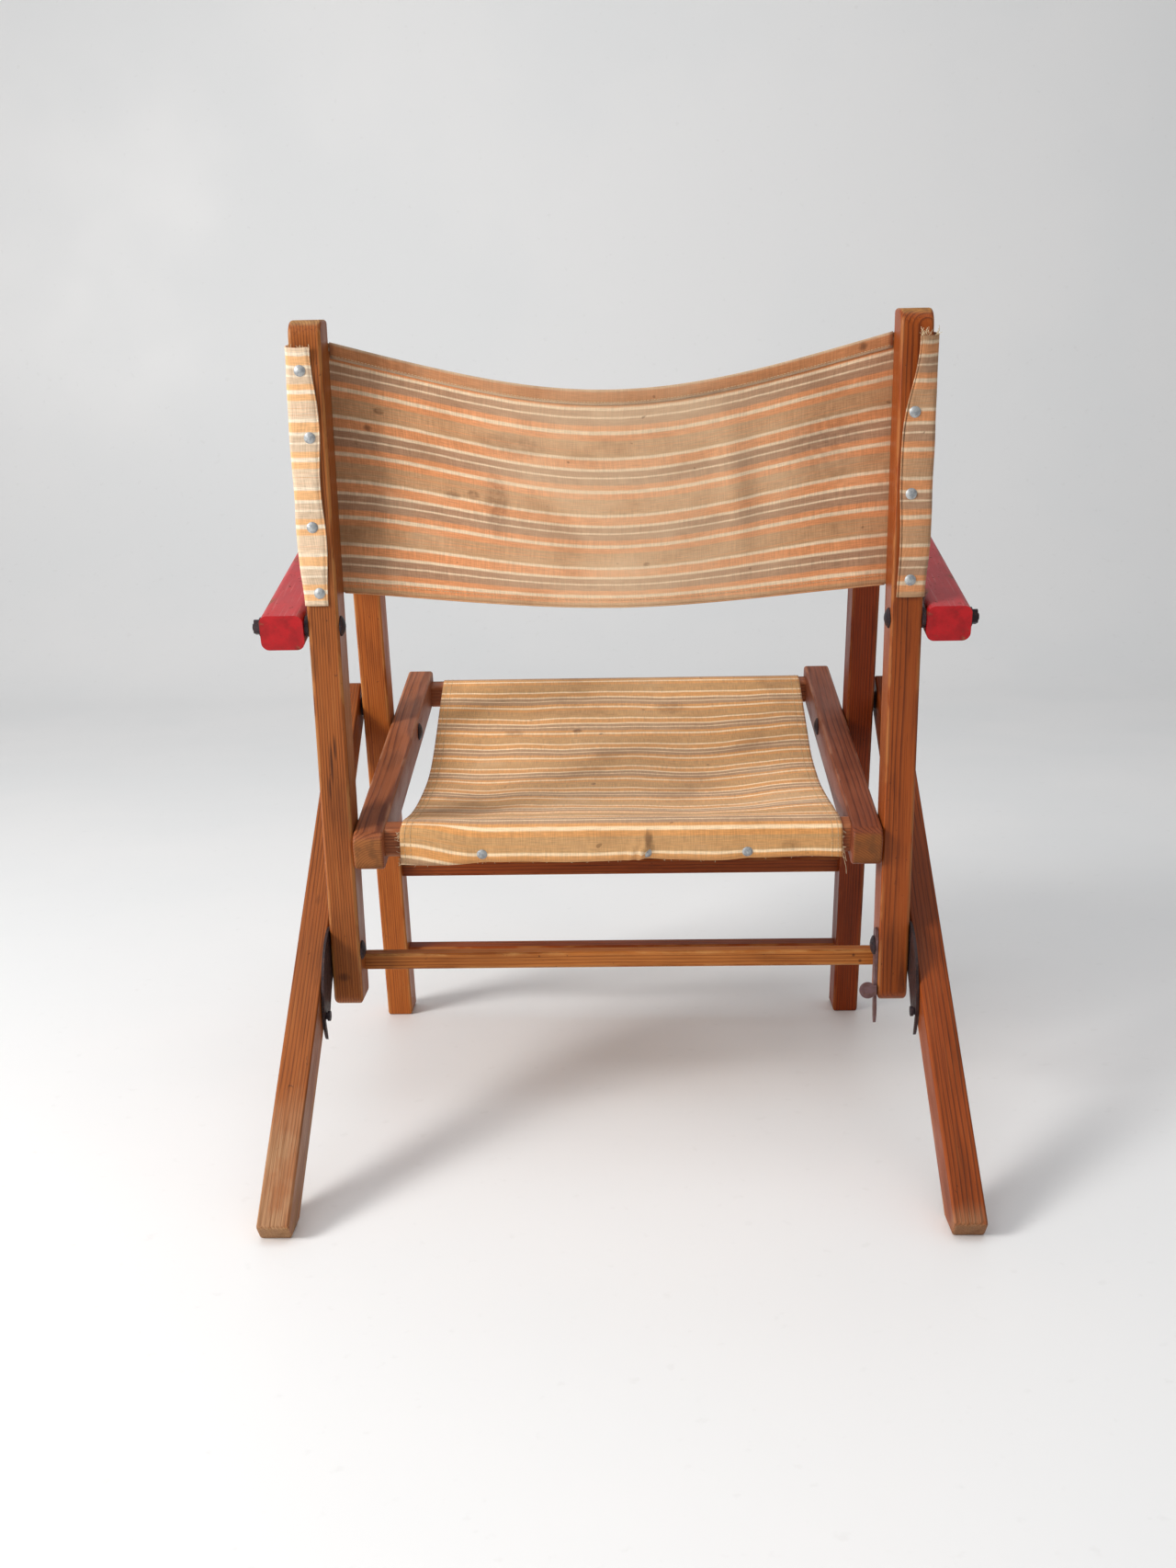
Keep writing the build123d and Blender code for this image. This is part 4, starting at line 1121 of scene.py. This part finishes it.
loose = []
left_edge = [row[0] for row in seat_points]
for k in range(22):
    base = seat_points[0][int(draw.uniform(0, 9))]
    heading = Vector((draw.uniform(0.3, 1.0), draw.uniform(-0.2, 0.6), draw.uniform(-0.8, 0.2)))
    loose.append(whisker(base, heading, draw.uniform(2.0, 6.0) * MM, 0.4))
for k in range(12):
    base = seat_points[-1][int(draw.uniform(0, 7))]
    heading = Vector((draw.uniform(-1.0, 0.1), draw.uniform(0.0, 0.6), -0.6))
    loose.append(whisker(base, heading, draw.uniform(2.0, 5.0) * MM, 0.4))
for k in range(2):
    base = seat_points[-1][1 + k]
    loose.append(whisker(base, Vector((-0.12, 0.25, -1.0)), (22.0 - 7 * k) * MM, 0.18))
for k in range(26):
    base = left_edge[int(draw.uniform(2, len(left_edge) - 2))]
    heading = Vector((draw.uniform(-0.5, 0.5), 0.3, -1.0))
    loose.append(whisker(base, heading, draw.uniform(0.8, 2.6) * MM, 0.4))
seat_threads = strands("seat_loose_threads", loose, WHISKER_R, THREAD)

# ---------------------------------------------------------------- what each piece rides on and stands for
for piece in (back, hem, under_hem, back_seam, back_threads):
    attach(piece, "back")
for piece in (seat, *side_hems, seat_seam_piece, seat_threads):
    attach(piece, "seat")
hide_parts("back_sling")
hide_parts("seat_sling")


# ---------------------------------------------------------------- floor, wall and light
def stage_material(name, tone, patch):
    g = Graph(name)
    where = g.node("TexCoord", {}, out="Object")
    broad = g.noise(where, 1.6, 3.0)
    fine = g.noise(where, 60.0, 3.0)
    colour = g.mix(g.span(broad, 0.35, 0.65, 0.0, 0.5), rgb(tone), rgb(patch))
    colour = g.mix(g.span(fine, 0.64, 0.74, 0.0, 0.10), colour, rgb("c9c6c2"))
    return g.finish(colour, g.span(broad, 0.3, 0.7, 0.42, 0.55), g.bump(fine, 0.0004, 0.25))


def sweep():
    """A floor that curves up into a wall in front of the chair."""
    profile = [(7.0, 0.0), (-2.0, 0.0)]
    radius, wall = 1.0, -3.4
    for k in range(1, 17):
        a = math.radians(90 * k / 16)
        profile.append((wall + radius - radius * math.sin(a), radius - radius * math.cos(a)))
    profile.append((wall, 4.6))
    verts = [Vector((x, y, z)) for x in (-7.0, 7.0) for y, z in profile]
    count = len(profile)
    faces = [(k, k + 1, count + k + 1, count + k) for k in range(count - 1)]
    mesh = bpy.data.meshes.new("floor")
    mesh.from_pydata(verts, [], faces)
    mesh.polygons.foreach_set("use_smooth", [True] * len(mesh.polygons))
    made = bpy.data.objects.new("floor", mesh)
    bpy.context.scene.collection.objects.link(made)
    mesh.materials.append(stage_material("floor_white", "f3f2f1", "eceded"))
    return made


sweep()


def area_light(name, place, target, size, watts, tone):
    data = bpy.data.lights.new(name, "AREA")
    data.shape = "RECTANGLE"
    data.size, data.size_y = size
    data.energy = watts
    data.color = tone
    lamp = bpy.data.objects.new(name, data)
    lamp.location = place
    lamp.rotation_mode = "QUATERNION"
    lamp.rotation_quaternion = (Vector(target) - Vector(place)).to_track_quat("-Z", "Y")
    bpy.context.scene.collection.objects.link(lamp)


area_light("key", (2.7, 1.7, 1.75), (0.0, 0.1, 0.35), (1.15, 1.15), 108.0, (1.0, 0.985, 0.965))
area_light("top", (0.4, 0.3, 3.2), (0.0, 0.0, 0.0), (3.8, 3.8), 47.0, (0.97, 0.985, 1.0))
area_light("fill", (-2.8, 1.6, 1.5), (0.0, 0.0, 0.4), (2.2, 2.2), 5.0, (0.96, 0.98, 1.0))

world = bpy.data.worlds.new("studio")
world.use_nodes = True
background = world.node_tree.nodes["Background"]
background.inputs["Color"].default_value = (0.86, 0.88, 0.91, 1.0)
background.inputs["Strength"].default_value = 0.34
bpy.context.scene.world = world
bpy.context.scene.view_settings.view_transform = "Standard"

# ---------------------------------------------------------------- camera
CAMERA_AT = (-0.0136, 1.5631, 0.6747)
PITCH, PAN, ROLL = math.radians(12.42), math.radians(1.57), math.radians(1.03)
LENS, SENSOR = 36.4727, 36.0  # mm
camera_data = bpy.data.cameras.new("camera")
camera_data.lens = LENS
camera_data.sensor_width = SENSOR
camera = bpy.data.objects.new("camera", camera_data)
forward = Vector((math.sin(PAN) * math.cos(PITCH), -math.cos(PAN) * math.cos(PITCH), -math.sin(PITCH)))
right = forward.cross(Vector((0.0, 0.0, 1.0))).normalized()
over = right.cross(forward)
turned_right = right * math.cos(ROLL) - over * math.sin(ROLL)
turned_up = right * math.sin(ROLL) + over * math.cos(ROLL)
axes = Matrix((turned_right, turned_up, -forward)).transposed().to_4x4()
camera.matrix_world = Matrix.Translation(CAMERA_AT) @ axes
bpy.context.scene.collection.objects.link(camera)
bpy.context.scene.camera = camera
